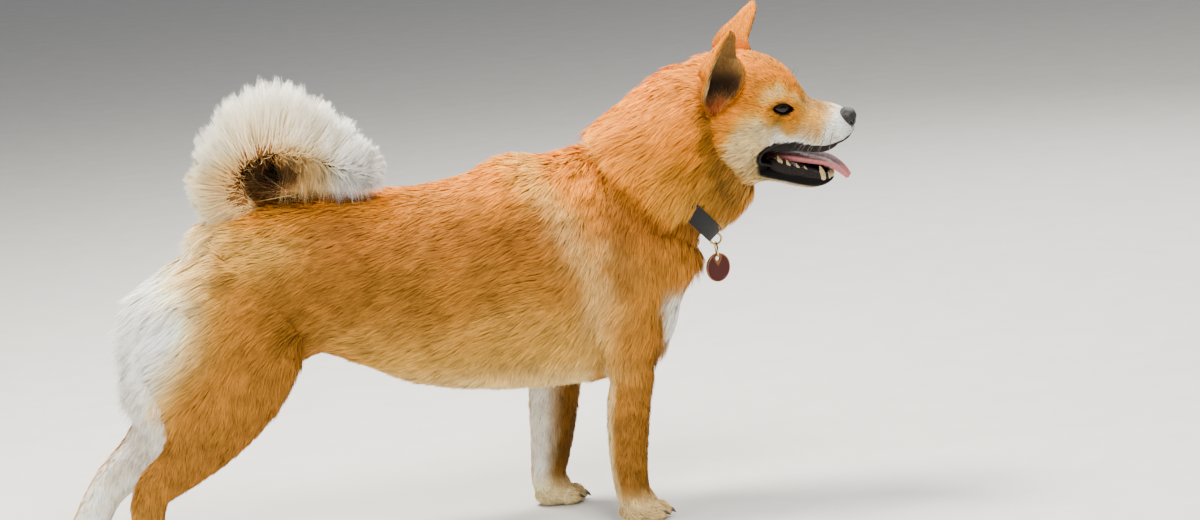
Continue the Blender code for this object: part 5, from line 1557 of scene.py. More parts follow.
@dataclass
class Coat:
    """The coat of the body, head and legs, scattered over the skin."""

    rng: np.random.Generator
    finish: MarkedFinish = MarkedFinish("coat", roughness=0.65, grain=3.0)
    sink: float = 1.2  # of the roots below the skin
    most: int = 39000  # tufts in a piece of long coat
    root_shade: Colour = (0.80, 0.74, 0.66)  # painted shade at the roots: how dark they are against the marks
    pale_gain: Colour = (0.12, 0.17, 0.22)  # and how much less so where the coat is pale

    def scatter(self, skin: Piece, site: Site, fields: Fields, marks_and_shade: Array) -> tuple[Tufts, Array]:
        """Tufts rooted evenly over the skin.

        Args:
            skin: The skin, with its map.
            site: The skin's vertices.
            fields: The growth at the vertices.
            marks_and_shade: The markings, with their painted shade, at the vertices.

        Returns:
            The tufts and the region of each.
        """
        mesh = skin.data
        mesh.calc_loop_triangles()
        corners = read(mesh.loop_triangles, "vertices", 3, np.int32)
        loops = read(mesh.loop_triangles, "loops", 3, np.int32)
        uv = read(mesh.uv_layers[0].data, "uv", 2)
        a, b, c = (site.p[corners[:, k]] for k in range(3))
        area = np.linalg.norm(np.cross(b - a, c - a), axis=1) / 2
        wanted = area * fields.density[corners].min(axis=1) * TUFT_SHARE
        total = np.cumsum(wanted)
        number = int(total[-1])
        ticks = (np.arange(number) + self.rng.random(number)) * total[-1] / number
        tri = np.searchsorted(total, ticks)
        tri = np.minimum(tri, len(corners) - 1)
        u, v = self.rng.random(number), self.rng.random(number)
        flip = u + v > 1
        u[flip], v[flip] = 1 - u[flip], 1 - v[flip]
        share = np.stack((1 - u - v, u, v), axis=1)

        def at(values: Array, index: Array = corners) -> Array:
            picked = values[index[tri]]
            weights = share if picked.ndim == 2 else share[:, :, None]
            return (picked * weights).sum(axis=1)

        root, normal, lie = at(site.p), unit(at(site.n)), at(fields.lie)
        lie = unit(flat(lie, normal))
        length = at(fields.length) * self.rng.uniform(0.72, 1.15, number)
        lift = at(fields.lift) * self.rng.uniform(0.62, 1.08, number)
        lift *= 1 + 0.28 * value_noise(root / 11, 41)
        clump = noise_vectors(root, 5.5, 51) * 0.20 + noise_vectors(root, 2.2, 61) * 0.08
        clump = flat(clump, normal)
        across = np.cross(normal, lie)
        roll = self.rng.normal(0, 0.45, number)[:, None]
        broad = unit(across * np.cos(roll) + normal * np.sin(roll))
        tip = root + lie * length[:, None] + normal * lift[:, None] + clump * length[:, None]
        tip[:, 2] = np.maximum(tip[:, 2], 0.4)
        bend = root + lie * (length * 0.42)[:, None] + normal * (lift * 0.95)[:, None]
        tuft_marks_and_shade = at(marks_and_shade)
        tone = 1 + 0.09 * value_noise(root / 4.2, 71) + self.rng.normal(0, 0.05, number)
        # Roots darker and tips a little lighter than the marks: painted shade deep in the coat and
        # painted light at its surface, with less shade where the coat is pale.
        pale = smooth(0.6, 0.95, tuft_marks_and_shade[:, 2])[:, None]
        depth = np.array(self.root_shade) + pale * np.array(self.pale_gain)
        root_colour = tuft_marks_and_shade * tone[:, None] * depth
        tip_colour = tuft_marks_and_shade * tone[:, None] * 1.06
        dark = at(fields.dark_tip) * (self.rng.random(number) < 0.55)
        dark = dark * smooth(-0.2, 0.5, value_noise(root / 8, 81))
        tip_colour = paint(tip_colour, (Tone.BROWN, dark))
        region = site.regions()[corners[tri][:, 0]]
        width = at(fields.width) * self.rng.uniform(0.75, 1.25, number)
        return Tufts(root - normal * self.sink, normal, bend, tip, broad, width, root_colour,
                     tip_colour, at(uv, loops)), region

    def build(self, tufts: Tufts, region: Array, material: Material) -> None:
        """Make and dress the pieces of the coat, region by region."""
        for number, name in enumerate(Region):
            rows = np.flatnonzero(region == number)
            if not len(rows):
                continue
            long = name in (Region.NECK, Region.TAIL)
            maker = CoatMesh() if long else CoatMesh((0.0, 0.45), (0.85, 1.0))
            parts = int(np.ceil(len(rows) / (self.most if long else self.most * 5 // 3)))
            for k, chunk in enumerate(np.array_split(rows, parts)):
                title = "coat_" + name.value[0] + (f"_{k + 1}" if parts > 1 else "")
                piece = maker.build(title, tufts.pick(chunk))
                dress(piece, material, "coat_red", *name.value[1:])


@dataclass
class Plume:
    """The long hair fanned round the curl of the tail."""

    rng: np.random.Generator
    clumps: int = 1750
    hairs: int = 26
    width: float = 0.95
    spread: float = 0.095
    gather: float = 0.93
    comb: float = 0.8
    eye: Place = (-188.0, -12.0, 401.0)
    eye_run: Place = (30.0, 0.0, -14.0)
    inner: float = 0.93  # share of the hair within the curl that points at its eye

    def stations(self, at: Array) -> tuple[Array, ...]:
        """Place, run, outward side, across and sizes at some places along the tail."""
        line = tail_line()
        count = len(line)
        run = np.array([heading(line, k) for k in range(count)])
        out = unit(-np.cross(run, np.tile((0.0, 1.0, 0.0), (count, 1))))
        flip = np.sum(out * np.stack((-run[:, 2], 0 * run[:, 0], run[:, 0]), axis=1), axis=1) < 0
        out[flip] *= -1
        across = np.cross(run, out)
        sizes = np.array([row[2:] for row in TAIL], float)
        low = np.clip(at.astype(int), 0, count - 2)
        share = (at - low)[:, None]
        return tuple(blend(a[low], a[low + 1], share) for a in (line, run, out, across, sizes))

    def reach(self, at: Array, angle: Array, hair: Array) -> tuple[Array, Array]:
        """A place round the tail at a share of the hair's length, and the run there."""
        point, run, out, across, sizes = self.stations(at)
        core, outward, side, inward = sizes.T
        tall = np.where(np.sin(angle) > 0, outward, inward)
        wide = core + (side - core) * hair
        high = core + (tall - core) * hair
        spoke = across * (wide * np.cos(angle))[:, None] + out * (high * np.sin(angle))[:, None]
        return point + spoke, run

    def tufts(self, tree: BVHTree, uvs: Array) -> Tufts:
        """Clumps of long tufts that gather towards their tips.

        Args:
            tree: A tree of the skin in millimetres.
            uvs: The map's place of each face of the skin.

        Returns:
            The tufts of the plume.
        """
        rng = self.rng
        clumps = max(60, int(self.clumps * TUFT_SHARE))
        last = len(TAIL) - 1.25
        at = rng.permutation(np.linspace(0.25, last, clumps)) + rng.uniform(-0.25, 0.25, clumps)
        at = np.clip(at, 0.2, last)
        angle = rng.uniform(0, 2 * np.pi, clumps)
        number = clumps * self.hairs
        own = np.repeat(np.arange(clumps), self.hairs)
        at_hair = np.clip(at[own] + rng.normal(0, self.spread * 1.6, number), 0.1, last + 0.3)
        turn = angle[own] + rng.normal(0, self.spread * 1.3, number)
        root, run = self.reach(at_hair, turn, np.zeros(number))
        point = self.stations(at_hair)[0]
        root = point + (root - point) * 0.9 - run * rng.uniform(3, 9, number)[:, None]
        long = 0.74 + 0.46 * rng.random(clumps) ** 1.9
        slant = rng.uniform(-4, 9, clumps)
        hair = long[own] * rng.uniform(0.78, 1.0, number)
        free, _ = self.reach(at_hair, self.lean(turn, at_hair), hair)
        free = free + run * slant[own][:, None]
        centre, run_ = self.reach(at, self.lean(angle, at), long)
        centre = centre + run_ * slant[:, None]
        hold = self.gather * rng.uniform(0.7, 1.08, number)[:, None]
        hold = hold * (0.35 + 0.65 * smooth(-0.5, 0.3, np.sin(turn)))[:, None]
        tip = free + (centre[own] - free) * np.clip(hold, 0, 1)
        inner = smooth(-0.55, -0.85, np.sin(turn)) * smooth(1.0, 1.8, at_hair)
        inner = inner * smooth(6.9, 6.1, at_hair)
        eye = np.array(self.eye) + np.array(self.eye_run) * rng.uniform(-0.4, 1, number)[:, None]
        eye = eye + rng.normal(0, 1, (number, 3)) * (3.0, 12.0, 3.0)
        inner = (rng.random(number) < self.inner * inner).astype(float)[:, None]
        tip = blend(tip, eye, inner)
        stray = 0.6 + 3.0 * smooth(-0.6, -0.9, np.sin(turn)) * (1 - inner[:, 0])
        tip = tip + rng.normal(0, 1, (number, 3)) * stray[:, None]
        outwards = unit(root - point)
        long_here = np.linalg.norm(tip - root, axis=1, keepdims=True)
        bend = blend((root + free) / 2, (root + tip) / 2, inner) + outwards * long_here * 0.06
        side = unit(np.cross(outwards, tip - root) + rng.normal(0, 0.3, (number, 3)) + run * 0.8)
        tone = (1 + rng.normal(0, 0.035, number))[:, None]
        places = np.array([tree.find_nearest(where.tolist())[2] or 0 for where in root])
        # Roots a little darker and tips a little lighter: painted shade and painted light along the
        # hair.
        return Tufts(root, outwards, bend, tip, side, self.width * rng.uniform(0.7, 1.2, number),
                     self.colour(root + (tip - root) * 0.45 * inner, 0.97) * tone,
                     self.colour(tip, 1.03) * tone, uvs[places])

    def lean(self, angle: Array, at: Array) -> Array:
        """Where the tips of hair rooted at an angle lie: combed outward from the sides."""
        away = (angle - np.pi / 2 + np.pi) % (2 * np.pi) - np.pi
        far = smooth(6.0, 8.5, at)
        share = self.comb * smooth(0, 1, (2.9 - 0.5 * far - np.abs(away)) / 0.8)
        return np.pi / 2 + away * (1 - share)

    def colour(self, points: Array, depth: float) -> Array:
        """Dark in the eye of the curl, partly dark hair and partly painted shade, golden round it,
        white at the outside; a depth below 1 darkens as painted shade, above 1 lightens.
        """
        aside, above = points[:, 0] - self.eye[0], points[:, 2] - self.eye[2]
        loose = 4 * value_noise(points / 9, 91)
        away = np.hypot(aside / 1.2, above / 0.9) + loose
        rear, low = np.where(aside < 0, 1.75, 1.2), np.where(above < 0, 1.6, 0.9)
        wide = np.hypot(aside / rear, above / low) + loose
        return depth * paint(
            plain(Tone.PLUME_EYE, len(points)), (Tone.PLUME_BROWN, smooth(12, 18, away)),
            (Tone.PLUME_GOLD, smooth(16, 25, away)), (Tone.CREAM, smooth(26, 46, wide)),
            (Tone.WHITE, smooth(40, 60, wide)))


def face_places(mesh: Mesh) -> Array:
    """The middle of each face on the mesh's map."""
    return read(mesh.uv_layers[0].data, "uv", 2)[read(mesh.polygons, "loop_start", 1, np.int32)]


# ---------------------------------------------------------------- eyes, nose, mouth
def on_side(tree: BVHTree, x: float, z: float, side: int) -> Vector | None:
    """Where the side of the head lies at a place of its own frame."""
    start = from_head(np.array([(x, side * BEYOND_HEAD, z)]))[0]
    return tree.ray_cast(Vector(start), Vector(HEAD[:3, :3] @ (0, -side, 0)))[0]


@dataclass
class Eye:
    """One eye: a dark iris round a pupil, under a clear cornea."""

    side: int
    iris: float = 8.6
    pupil: float = 4.2
    bulge: float = 0.9
    streaks: int = 23
    white_tone: Colour = (0.16, 0.13, 0.11)
    iris_tone: Colour = (0.13, 0.065, 0.03)
    rim_tone: Colour = (0.02, 0.015, 0.012)
    pupil_tone: Colour = (0.006, 0.005, 0.005)
    rear_tone: Colour = (0.15, 0.05, 0.05)
    finish: TintFinish = TintFinish("eye", 0.06, 0.0, shine=0.3)

    def build(self) -> Piece:
        """The finished eye."""
        word = "left" if self.side > 0 else "right"
        obj = sphere("eyeball_" + word, 64, 40)
        obj.data.transform(turned(90, "Y"))
        points = read(obj.data.vertices, "co", 3) * EYE_HALF
        ring = np.hypot(points[:, 1], points[:, 2])
        front = points[:, 0] > 0
        points[:, 0] += np.where(front, self.bulge * smooth(self.iris, 2, ring), 0)
        streak = 1 + 0.35 * np.sin(np.arctan2(points[:, 2], points[:, 1]) * self.streaks)
        iris = np.array(self.iris_tone) * streak[:, None]
        tint = np.where((ring < self.iris)[:, None], iris, self.white_tone)
        rim = smooth(self.iris - 1.6, self.iris, ring) * (ring < self.iris + 1)
        tint = paint(tint, (self.rim_tone, rim),
                     (self.pupil_tone, smooth(self.pupil + 0.5, self.pupil - 0.4, ring)))
        tint = np.where(front[:, None], tint, self.rear_tone)
        obj.data.vertices.foreach_set("co", points.ravel())
        place(obj, eye_frame(self.side))
        store_colours(obj.data, "tint", linear(np.clip(tint, 0, 1)))
        dress(obj, self.finish.make(), "eye_ball", "eye_" + word)
        return obj


@dataclass
class Nose:
    """The nose leather with its comma nostrils and the groove below them."""

    nostril: float = 5.6  # from the middle to the nostril's centre
    finish: GrainFinish = GrainFinish("nose_leather", (0.006, 0.006, 0.006), (0.018, 0.016, 0.018),
                                      3.0, (0.38, 0.55), relief=0.3, pebbles=0.8, coat=0.05,
                                      shine=0.3)

    def build(self) -> Piece:
        """The finished nose."""
        obj = sphere("nose_leather", 72, 48)
        points = read(obj.data.vertices, "co", 3)
        points = np.sign(points) * np.abs(points) ** 0.75 * NOSE_HALF
        points[:, 1] *= 1 - 0.28 * np.clip(-points[:, 2] / NOSE_HALF[2], 0, 1)
        front = points[:, 0] > 0
        points[:, 0] -= 1.3 * bump(0, 0.9, points[:, 1]) * smooth(3, -3, points[:, 2]) * front
        for side in (-1, 1):
            gap = np.hypot((points[:, 1] - side * self.nostril) / 1.25, points[:, 2] + 0.4)
            points[:, 0] += 0.7 * bump(4.2, 1.4, gap) * (points[:, 0] > 0)
        obj.data.vertices.foreach_set("co", points.ravel())
        place(obj, HEAD @ shift(*NOSE_CENTRE) @ np.array(turned(NOSE_TILT, "Y")))
        for side in (-1, 1):
            turn = turned(side * 38, "Z")
            x, y, z = np.add(NOSE_CENTRE, (8.2, side * self.nostril, -0.6))
            hole = HEAD @ shift(x, y, z) @ np.array(turn)
            slit = HEAD @ shift(x - 2.5, y + side * 3.4, z - 1.6)
            slit = slit @ np.array(turn @ turned(side * 30, "X"))
            boolean(obj, ball("nostril", hole, (5.5, 1.9, 2.7)), "DIFFERENCE")
            boolean(obj, ball("slit", slit, (5.5, 3.4, 1.1)), "DIFFERENCE")
        dress(obj, self.finish.make(), "lip_skin", "nose")
        return obj


@dataclass
class Mouth:
    """Lips, teeth and tongue of the open mouth."""

    tree: BVHTree
    lip_radius: float = 1.9
    gum_half: float = 3.6
    gum: GrainFinish = GrainFinish("lip_skin", (0.007, 0.005, 0.005), (0.018, 0.013, 0.012), 2.4,
                                   (0.5, 0.7), relief=0.35, shine=0.12)
    flesh: GrainFinish = GrainFinish("tongue_skin", (0.36, 0.095, 0.10), (0.50, 0.165, 0.16), 2.2,
                                     (0.42, 0.6), relief=0.5, shine=0.3)
    enamel: GrainFinish = GrainFinish("tooth_enamel", (0.31, 0.22, 0.085), (0.48, 0.38, 0.20), 3.5,
                                      (0.2, 0.35), coat=0.2)

    def edge(self, outline: Table) -> Array:
        """The line of a lip: along the right side, round the front and back along the left."""
        found = [on_side(self.tree, x, z, side)
                 for side, stations in ((-1, outline), (1, outline[::-1])) for x, z in stations]
        return resample([hit for hit in found if hit is not None], 4)

    def lip(self, name: str, outline: Table, scallop: float,
            thin: float = 0.0) -> Piece:
        """One rolled lip, thinner towards the nose by a share."""
        path = self.edge(outline)
        along = np.linspace(0, 1, len(path))
        arch = np.sin(along * np.pi)
        radii = self.lip_radius * (1 + scallop * np.sin(along * 60)) * (0.75 + 0.25 * arch)
        radii *= 1 - thin * arch ** 6
        return tube(name, path, radii, 12)

    def tongue(self) -> Piece:
        """A broad tongue hollowed along its middle, its tip out over the front teeth."""
        rows = resample(TONGUE, 4)
        rings = []
        for i, (x, z, half, thick) in enumerate(rows):
            run = heading(rows[:, :2], i)
            up = np.array((-run[1], 0, run[0]))
            ring = egg((x, 0, z), (0, 1, 0), up, half, thick / 2, thick / 2, 0.8, 32)
            dip = 3.0 * (1 - (ring[:, 1] / half) ** 2) * min(1, thick / 8)
            dip += 1.1 * bump(0, 1.3, ring[:, 1])
            rings.append(from_head(ring - dip[:, None] * up))
        obj = loft("tongue_flesh", np.array(rings))
        soft = obj.modifiers.new("soft", "SUBSURF")
        soft.levels = soft.render_levels = 1
        apply_modifiers(obj)
        return obj

    def tooth(self, foot: Row, tip: Row, radius: float) -> Piece:
        """A blunt curved tooth between two places of the head's frame."""
        foot, tip = np.array(foot, float), np.array(tip, float)
        t = np.linspace(0, 1, 7)[:, None]
        path = foot + (tip - foot) * t + np.array((1.0, 0, 0)) * np.sin(t * np.pi) * 0.8
        radii = radius * np.array((1.0, 1.02, 0.98, 0.88, 0.7, 0.45, 0.16))
        return tube("tooth", from_head(path), radii, 12)

    def teeth(self) -> Piece:
        """Canines, incisors and cheek teeth of the lower jaw."""
        pieces = []
        (x, y, z), height, radius = LOWER_CANINE
        for side in (-1, 1):
            pieces.append(self.tooth((x, side * y, z - 5), (x - 2, side * y, z + height), radius))
            for k in range(3):
                where = (x + 7.5 - 1.1 * k, side * (k + 0.5) * 3.2)
                pieces.append(self.tooth((*where, z - 5), (where[0] + 0.6, where[1], z + 2.7), 1.8))
            for tx, ty, tz, high, long in LOWER_CHEEK_TEETH:
                for step, share in ((0.15, 1.0), (-0.75, 0.55), (0.85, 0.45)):
                    foot = (tx + step * long, side * ty, tz - 4)
                    tip = (foot[0] - 0.3, side * ty, tz + high * share)
                    pieces.append(self.tooth(foot, tip, long * (0.72 if share == 1.0 else 0.55)))
        return join("teeth", pieces)

    def ridge(self, name: str, stations: Table) -> Piece:
        """A gum's ridge, back along one side and forward along the other."""
        path = [(x, -y, top, low) for x, y, top, low in stations]
        path += [(x, y, top, low) for x, y, top, low in stations[::-1]]
        rows = resample(path, 4)
        rings = []
        for i, (x, y, top, low) in enumerate(rows):
            run = heading(rows[:, :2], i)
            across, half = (-run[1], run[0], 0), (top - low) / 2
            middle = (x, y, (top + low) / 2)
            ring = egg(middle, across, (0, 0, 1), self.gum_half, half, half, 0.8, 16)
            rings.append(from_head(ring))
        return loft(name, np.array(rings))

    def build(self) -> None:
        """Make and dress the lips, gums, teeth and tongue."""
        lips = join("lips", [self.lip("upper_lip", UPPER_LIP, 0.06, 0.62),
                             self.lip("lower_lip", LOWER_LIP, 0.16),
                             self.ridge("upper_gum", UPPER_GUM),
                             self.ridge("lower_gum", LOWER_GUM)])
        dress(lips, self.gum.make(), "lip_skin")
        dress(self.teeth(), self.enamel.make(), "coat_cream")
        dress(self.tongue(), self.flesh.make(), "tongue_skin", "tongue")


@dataclass
class Whiskers:
    """Stiff hairs of the muzzle, brows and cheeks."""

    tree: BVHTree
    rng: np.random.Generator
    radius: float = 0.28
    length: tuple[float, float] = (22.0, 36.0)
    brow: tuple[float, float] = (12.0, 18.0)
    cheek: float = 24.0
    finish: GrainFinish = GrainFinish("whisker", (0.02, 0.015, 0.012), (0.10, 0.08, 0.06), 6.0,
                                      (0.35, 0.5))

    def hair(self, x: float, z: float, side: int, aim: Row, long: float) -> Piece | None:
        """One curved hair rooted in the side of the head."""
        hit = on_side(self.tree, x, z, side)
        if hit is None:
            return None
        root = np.array(hit)
        aim = HEAD[:3, :3] @ (np.array((aim[0], aim[1] * side, aim[2])) / np.linalg.norm(aim))
        sag = HEAD[:3, :3] @ (-0.25, 0, -0.30)
        t = np.linspace(-0.08, 1, 7)[:, None]
        path = root + aim * long * t + sag * long * np.clip(t, 0, 1) ** 2
        return tube("whisker", path, self.radius * np.array((1, 1, 0.9, 0.75, 0.55, 0.35, 0.12)), 5)

    def build(self) -> None:
        """Make and dress the whiskers."""
        pieces = []
        for side in (-1, 1):
            for row in range(3):
                for k in range(4):
                    x = 124 - 7.5 * k - 2 * row
                    z = 401 - 5.0 * row + 0.6 * k
                    aim = (0.15 - 0.18 * k, 1.0, -0.15 - 0.18 * row)
                    pieces.append(self.hair(x, z, side, aim, self.rng.uniform(*self.length)))
            for x, z in ((80, 449), (84, 446), (77, 452)):
                pieces.append(self.hair(x, z, side, (0.5, 0.5, 0.9), self.rng.uniform(*self.brow)))
            pieces.append(self.hair(44, 392, side, (-0.1, 1.0, -0.4), self.cheek))
        whiskers = join("whiskers", [piece for piece in pieces if piece])
        dress(whiskers, self.finish.make(), "lip_skin")


@dataclass
class Claws:
    """Blunt curved claws of all four feet."""

    length: float = 12.5
    drop: float = 5.0
    arch: float = 1.6
    radius: float = 2.5
    finish: GrainFinish = GrainFinish("claw_horn", (0.025, 0.018, 0.014), (0.11, 0.08, 0.06), 2.0,
                                      (0.25, 0.45), relief=0.2, coat=0.2)

    def build(self) -> None:
        """Make and dress the claws."""
        pieces = []
        t = np.linspace(0, 1, 8)[:, None]
        shape = np.array((0.9, 1.0, 0.98, 0.9, 0.78, 0.6, 0.42, 0.2))
        for x, y, long, wide in PAWS.values():
            for across, ahead in TOES:
                root = np.array((x + ahead * long + 6, y + across * wide * 1.02, 10.5))
                path = root + (self.length, 0, -self.drop) * t
                path = path + (0, 0, self.arch) * np.sin(t * np.pi)
                pieces.append(tube("claw", path, self.radius * shape, 12))
        dress(join("claws", pieces), self.finish.make(), "lip_skin")


# ---------------------------------------------------------------- collar, ring, tag
def collar_matrix() -> Array:
    """The collar's own frame: X along the neck, Z up across it."""
    return np.array(Matrix.Translation(COLLAR_POINT) @ turned(-COLLAR_PITCH, "Y"))


def loop_point() -> Array:
    """The middle of the metal loop under the collar."""
    low = collar_matrix() @ (0, 0, -COLLAR_SECTION[2] - 1.7, 1)
    return low[:3] + (0, 0, 1.0 - LOOP_RADIUS)


@dataclass
class Collar:
    """A nylon web round the neck with a metal loop below it."""

    web: WebFinish = WebFinish()
    metal: GrainFinish = GrainFinish("worn_brass", (0.58, 0.40, 0.15), (0.83, 0.62, 0.28), 1.6,
                                     (0.18, 0.42), relief=0.08, metallic=1.0)
    steps: int = 96
    # across the web and off it, in halves of its width and thickness
    section: Table = ((-1, -0.6), (-0.94, -1), (0.94, -1), (1, -0.6), (1, 0.6), (0.94, 1),
                      (0.84, 0.9), (0.8, 1.0), (-0.8, 1.0), (-0.84, 0.9), (-0.94, 1), (-1, 0.6))
    weaves: float = 20.0  # of the web's pattern round the band

    def band(self) -> Piece:
        """The web with rounded, stitched edges."""
        half, above, below = COLLAR_SECTION
        profile = np.array(self.section) * (COLLAR_WIDTH / 2, COLLAR_THICKNESS / 2)
        points = []
        for k in range(self.steps):
            angle = 2 * math.pi * k / self.steps
            reach = above if math.sin(angle) > 0 else below
            middle = np.array((0, half * math.cos(angle), reach * math.sin(angle)))
            out = np.array((0, math.cos(angle) / half, math.sin(angle) / reach))
            out /= np.linalg.norm(out)
            points.append(middle + profile[:, :1] * (1, 0, 0) + profile[:, 1:] * out)
        sides = len(profile)
        points = carry(np.array(points).reshape(-1, 3), collar_matrix())
        obj = new_mesh("collar_web", points, ring_faces(self.steps, sides, closed=True))
        layer = obj.data.uv_layers.new(name="band")
        for face in obj.data.polygons:
            for loop in face.loop_indices:
                vert = obj.data.loops[loop].vertex_index
                ring = vert // sides
                if ring == 0 and any(obj.data.loops[i].vertex_index // sides == self.steps - 1
                                     for i in face.loop_indices):
                    ring = self.steps
                across = profile[vert % sides, 0] / COLLAR_WIDTH * 0.9
                layer.data[loop].uv = (ring / self.steps * self.weaves, across)
        return obj

    def build(self) -> None:
        """Make and dress the web and its loop."""
        dress(self.band(), self.web.make(), "collar_web", "collar")
        turn = 2 * np.pi * np.arange(40) / 40
        path = loop_point() + LOOP_RADIUS * np.stack((np.cos(turn), 0 * turn, np.sin(turn)), axis=1)
        loop = tube("collar_loop", path, np.full(40, LOOP_WIRE), 12, closed=True)
        dress(loop, self.metal.make(), "ring_metal", "collar")


@dataclass
class SplitRing:
    """A ring of flat wire wound twice."""

    wire: float = 0.66
    rise: float = 1.3
    gap: float = 0.35  # radians between the wire's two ends
    steps: int = 110
    metal: GrainFinish = GrainFinish("bright_brass", (0.60, 0.42, 0.16), (0.86, 0.66, 0.32), 1.4,
                                     (0.15, 0.38), relief=0.06, metallic=1.0)

    def centre(self) -> Array:
        """The middle of the ring."""
        low = loop_point() - (0, 0, LOOP_RADIUS)
        return low + (0, 0, LOOP_WIRE + RING_WIRE + 0.3 - RING_RADIUS)

    def build(self) -> None:
        """Make and dress the ring."""
        whole = 4 * np.pi
        turn = np.linspace(0, whole - self.gap, self.steps)
        rise = (turn / whole - 0.5) * self.rise
        round_ = np.stack((rise, RING_RADIUS * np.cos(turn), RING_RADIUS * np.sin(turn)), axis=1)
        obj = tube("split_ring", self.centre() + round_, np.full(self.steps, self.wire), 10)
        dress(obj, self.metal.make(), "ring_metal", "collar_ring")


@dataclass
class Tag:
    """A plain enamelled disc with a raised metal rim, hung by its hole."""

    finish: TintFinish = TintFinish("tag_enamel", 0.4, 0.1, metal=True, shine=0.25)
    enamel: Colour = (0.27, 0.04, 0.03)
    metal: Colour = (0.60, 0.40, 0.24)
    eyelet: float = 1.6  # width of the metal round the hole
    sides: int = 96

    def build(self, ring_centre: Array) -> None:
        """Make and dress the tag.

        Args:
            ring_centre: The middle of the ring it hangs on.
        """
        hole = ring_centre - (0, 0, RING_RADIUS) + (0, 0, RING_WIRE + 0.3 - TAG_HOLE)
        centre = hole - (0, 0, TAG_RADIUS - TAG_HOLE - TAG_MARGIN)
        turn = turned(TAG_TURN, "Z") @ turned(90, "X")
        frame_ = shift(*centre) @ np.array(turn)
        half = TAG_THICKNESS / 2
        profile = ((0.01, half - 0.5), (TAG_RADIUS - 1.9, half - 0.5),
                   (TAG_RADIUS - 1.5, half - 0.15), (TAG_RADIUS - 1.2, half),
                   (TAG_RADIUS - 0.4, half), (TAG_RADIUS, half - 0.4))
        profile += tuple((r, -h) for r, h in reversed(profile))
        angle = 2 * np.pi * np.arange(self.sides) / self.sides
        x, y, level = np.cos(angle), np.sin(angle), 0 * angle
        rings = [np.stack((r * x, r * y, level + h), axis=1) for r, h in profile]
        obj = loft("tag_disc", carry(np.array(rings), frame_))
        up = TAG_RADIUS - TAG_HOLE - TAG_MARGIN
        deselect()
        for radius, depth, operation in ((TAG_HOLE + self.eyelet, TAG_THICKNESS, "UNION"),
                                         (TAG_HOLE, 8, "DIFFERENCE")):
            bpy.ops.mesh.primitive_cylinder_add(vertices=48, radius=radius, depth=depth)
            peg = bpy.context.object
            place(peg, shift(*(centre + (0, 0, up))) @ np.array(turn))
            boolean(obj, peg, operation)
        local = (points_of(obj) - centre) @ frame_[:3, :3]
        ring = np.hypot(local[:, 0], local[:, 1])
        eye = np.hypot(local[:, 0], local[:, 1] - up)
        rim = smooth(TAG_RADIUS - 1.6, TAG_RADIUS - 1.3, ring)
        metal = np.maximum(rim, eye < TAG_HOLE + self.eyelet + 0.1)
        tint = paint(plain(self.enamel, len(ring)), (self.metal, metal))
        store_colours(obj.data, "tint", linear(tint))
        store_values(obj.data, "metal", metal)
        dress(obj, self.finish.make(), "tag_enamel", "tag")
        bpy.context.view_layer.objects.active = obj
        obj.data.set_sharp_from_angle(angle=math.radians(35))


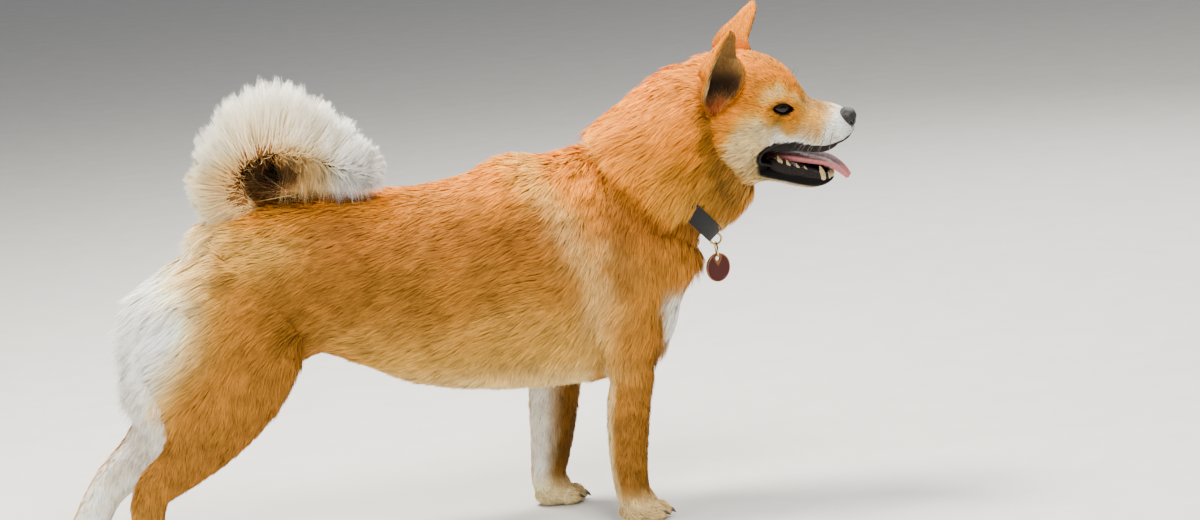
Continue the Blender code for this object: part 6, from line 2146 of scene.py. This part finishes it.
# ---------------------------------------------------------------- studio
@dataclass
class Studio:
    """A pale floor, soft lights and the camera."""

    aim: Place = (0.0, 0.0, 0.25)  # of the lights
    target: Place = (0.1573, 0.0, 0.2738)  # of the camera
    azimuth: float = 6.0
    elevation: float = 9.5
    roll: float = 5.3
    distance: float = 4.0
    width: float = 1.284  # seen across the picture at the target
    sensor: float = 36.0
    # name, place, size, power and colour
    lights: tuple[tuple[str, Place, float, float, Colour], ...] = (
        ("key", (0.6, -1.5, 2.6), 1.1, 130, (1.0, 0.95, 0.87)),
        ("top", (-0.5, 0.4, 2.7), 0.9, 240, (1.0, 0.93, 0.82)),
        ("fill", (-2.4, -1.3, 1.3), 1.6, 60, (0.98, 0.98, 1.0)),
        ("rim", (1.4, 2.0, 1.6), 1.2, 36, (1.0, 0.98, 0.95)),
    )

    def camera(self) -> None:
        """A camera that looks a little down from the dog's right, a little from the front."""
        a, e, r = (math.radians(v) for v in (self.azimuth, self.elevation, self.roll))
        ahead = Vector((math.sin(a) * math.cos(e), math.cos(a) * math.cos(e), -math.sin(e)))
        level = Vector((math.cos(a), -math.sin(a), 0))
        rise = level.cross(ahead)
        right = level * math.cos(r) - rise * math.sin(r)
        up = level * math.sin(r) + rise * math.cos(r)
        data = bpy.data.cameras.new("camera")
        data.sensor_width = self.sensor
        data.lens = self.sensor * self.distance / self.width
        obj = bpy.data.objects.new("camera", data)
        bpy.context.scene.collection.objects.link(obj)
        world = Matrix((right, up, -ahead)).transposed().to_4x4()
        world.translation = Vector(self.target) - ahead * self.distance
        obj.matrix_world = world
        bpy.context.scene.camera = obj

    def light(self, name: str, where: Row, size: float, power: float, colour: Colour) -> None:
        """One soft square light aimed at the dog."""
        data = bpy.data.lights.new(name, "AREA")
        data.size, data.energy, data.color = size, power, colour
        obj = bpy.data.objects.new(name, data)
        bpy.context.scene.collection.objects.link(obj)
        obj.location = where
        aim = Vector(self.aim) - Vector(where)
        obj.rotation_euler = aim.to_track_quat("-Z", "Y").to_euler()

    def build(self) -> None:
        """Make the floor, the lights, the world and the camera."""
        deselect()
        bpy.ops.mesh.primitive_plane_add(size=30)
        floor = bpy.context.object
        floor.name = "floor"
        nodes = Nodes("floor")
        share = nodes.ramp(nodes.grain(60), 0.0, 1.0, 0.3, 0.7)
        nodes.colour(nodes.blend(share, (0.60, 0.60, 0.59), (0.64, 0.64, 0.63)))
        nodes.set(Roughness=0.8)
        floor.data.materials.append(nodes.material)
        for row in self.lights:
            self.light(*row)
        world = bpy.data.worlds.new("studio")
        world.use_nodes = True
        sky = world.node_tree.nodes["Background"].inputs
        sky["Color"].default_value = (0.90, 0.92, 0.95, 1)
        sky["Strength"].default_value = 0.30
        bpy.context.scene.world = world
        self.camera()


def skin_site(skin: Piece, outer: BVHTree) -> Site:
    """What is known of the skin's vertices."""
    normals = read(skin.data.vertices, "normal", 3)
    ear = read(skin.data.attributes["ear"].data, "value")
    points = points_of(skin)
    depth = np.array([outer.find_nearest(point.tolist())[3] for point in points])
    return Site(points, normals, ear, np.clip(depth, *COAT_DEPTH))


def main() -> None:
    """Build the dog in order, from the skin to the tag."""
    logging.basicConfig(level=logging.INFO, format="%(name)s: %(message)s")
    rng = np.random.default_rng(SEED)
    builder = Skin()
    skin, outer, closed = builder.build()
    builder.unwrap(skin)
    tree = surface_tree(skin)
    site = skin_site(skin, outer)
    log.info("skin: %d vertices", len(site.p))
    marks_and_shade = Markings().at(site)
    store_colours(skin.data, "marks_and_shade", linear(marks_and_shade))
    wet = np.maximum(site.in_mouth(), smooth(1.3, 1.1, site.eye_distance()))
    store_values(skin.data, "wet", wet)
    dress(skin, builder.finish.make(), "coat_red", "torso", "neck", "head", "lower_jaw", "ear_left",
          "ear_right", "foreleg_left", "foreleg_right", "hindleg_left", "hindleg_right", "tail")
    coat = Coat(rng)
    material = coat.finish.make()
    fields = Growth().at(site)
    tufts, region = coat.scatter(skin, site, fields, marks_and_shade)
    log.info("coat: %d tufts", len(region))
    coat.build(tufts, region, material)
    plume = Plume(rng).tufts(tree, face_places(skin.data))
    coat.build(plume, np.full(len(plume.root), list(Region).index(Region.TAIL)), material)
    for side in (-1, 1):
        Eye(side).build()
    Nose().build()
    Mouth(closed).build()
    Whiskers(closed, rng).build()
    Claws().build()
    Collar().build()
    ring = SplitRing()
    ring.build()
    Tag().build(ring.centre())
    Studio().build()


if __name__ == "__main__":
    main()
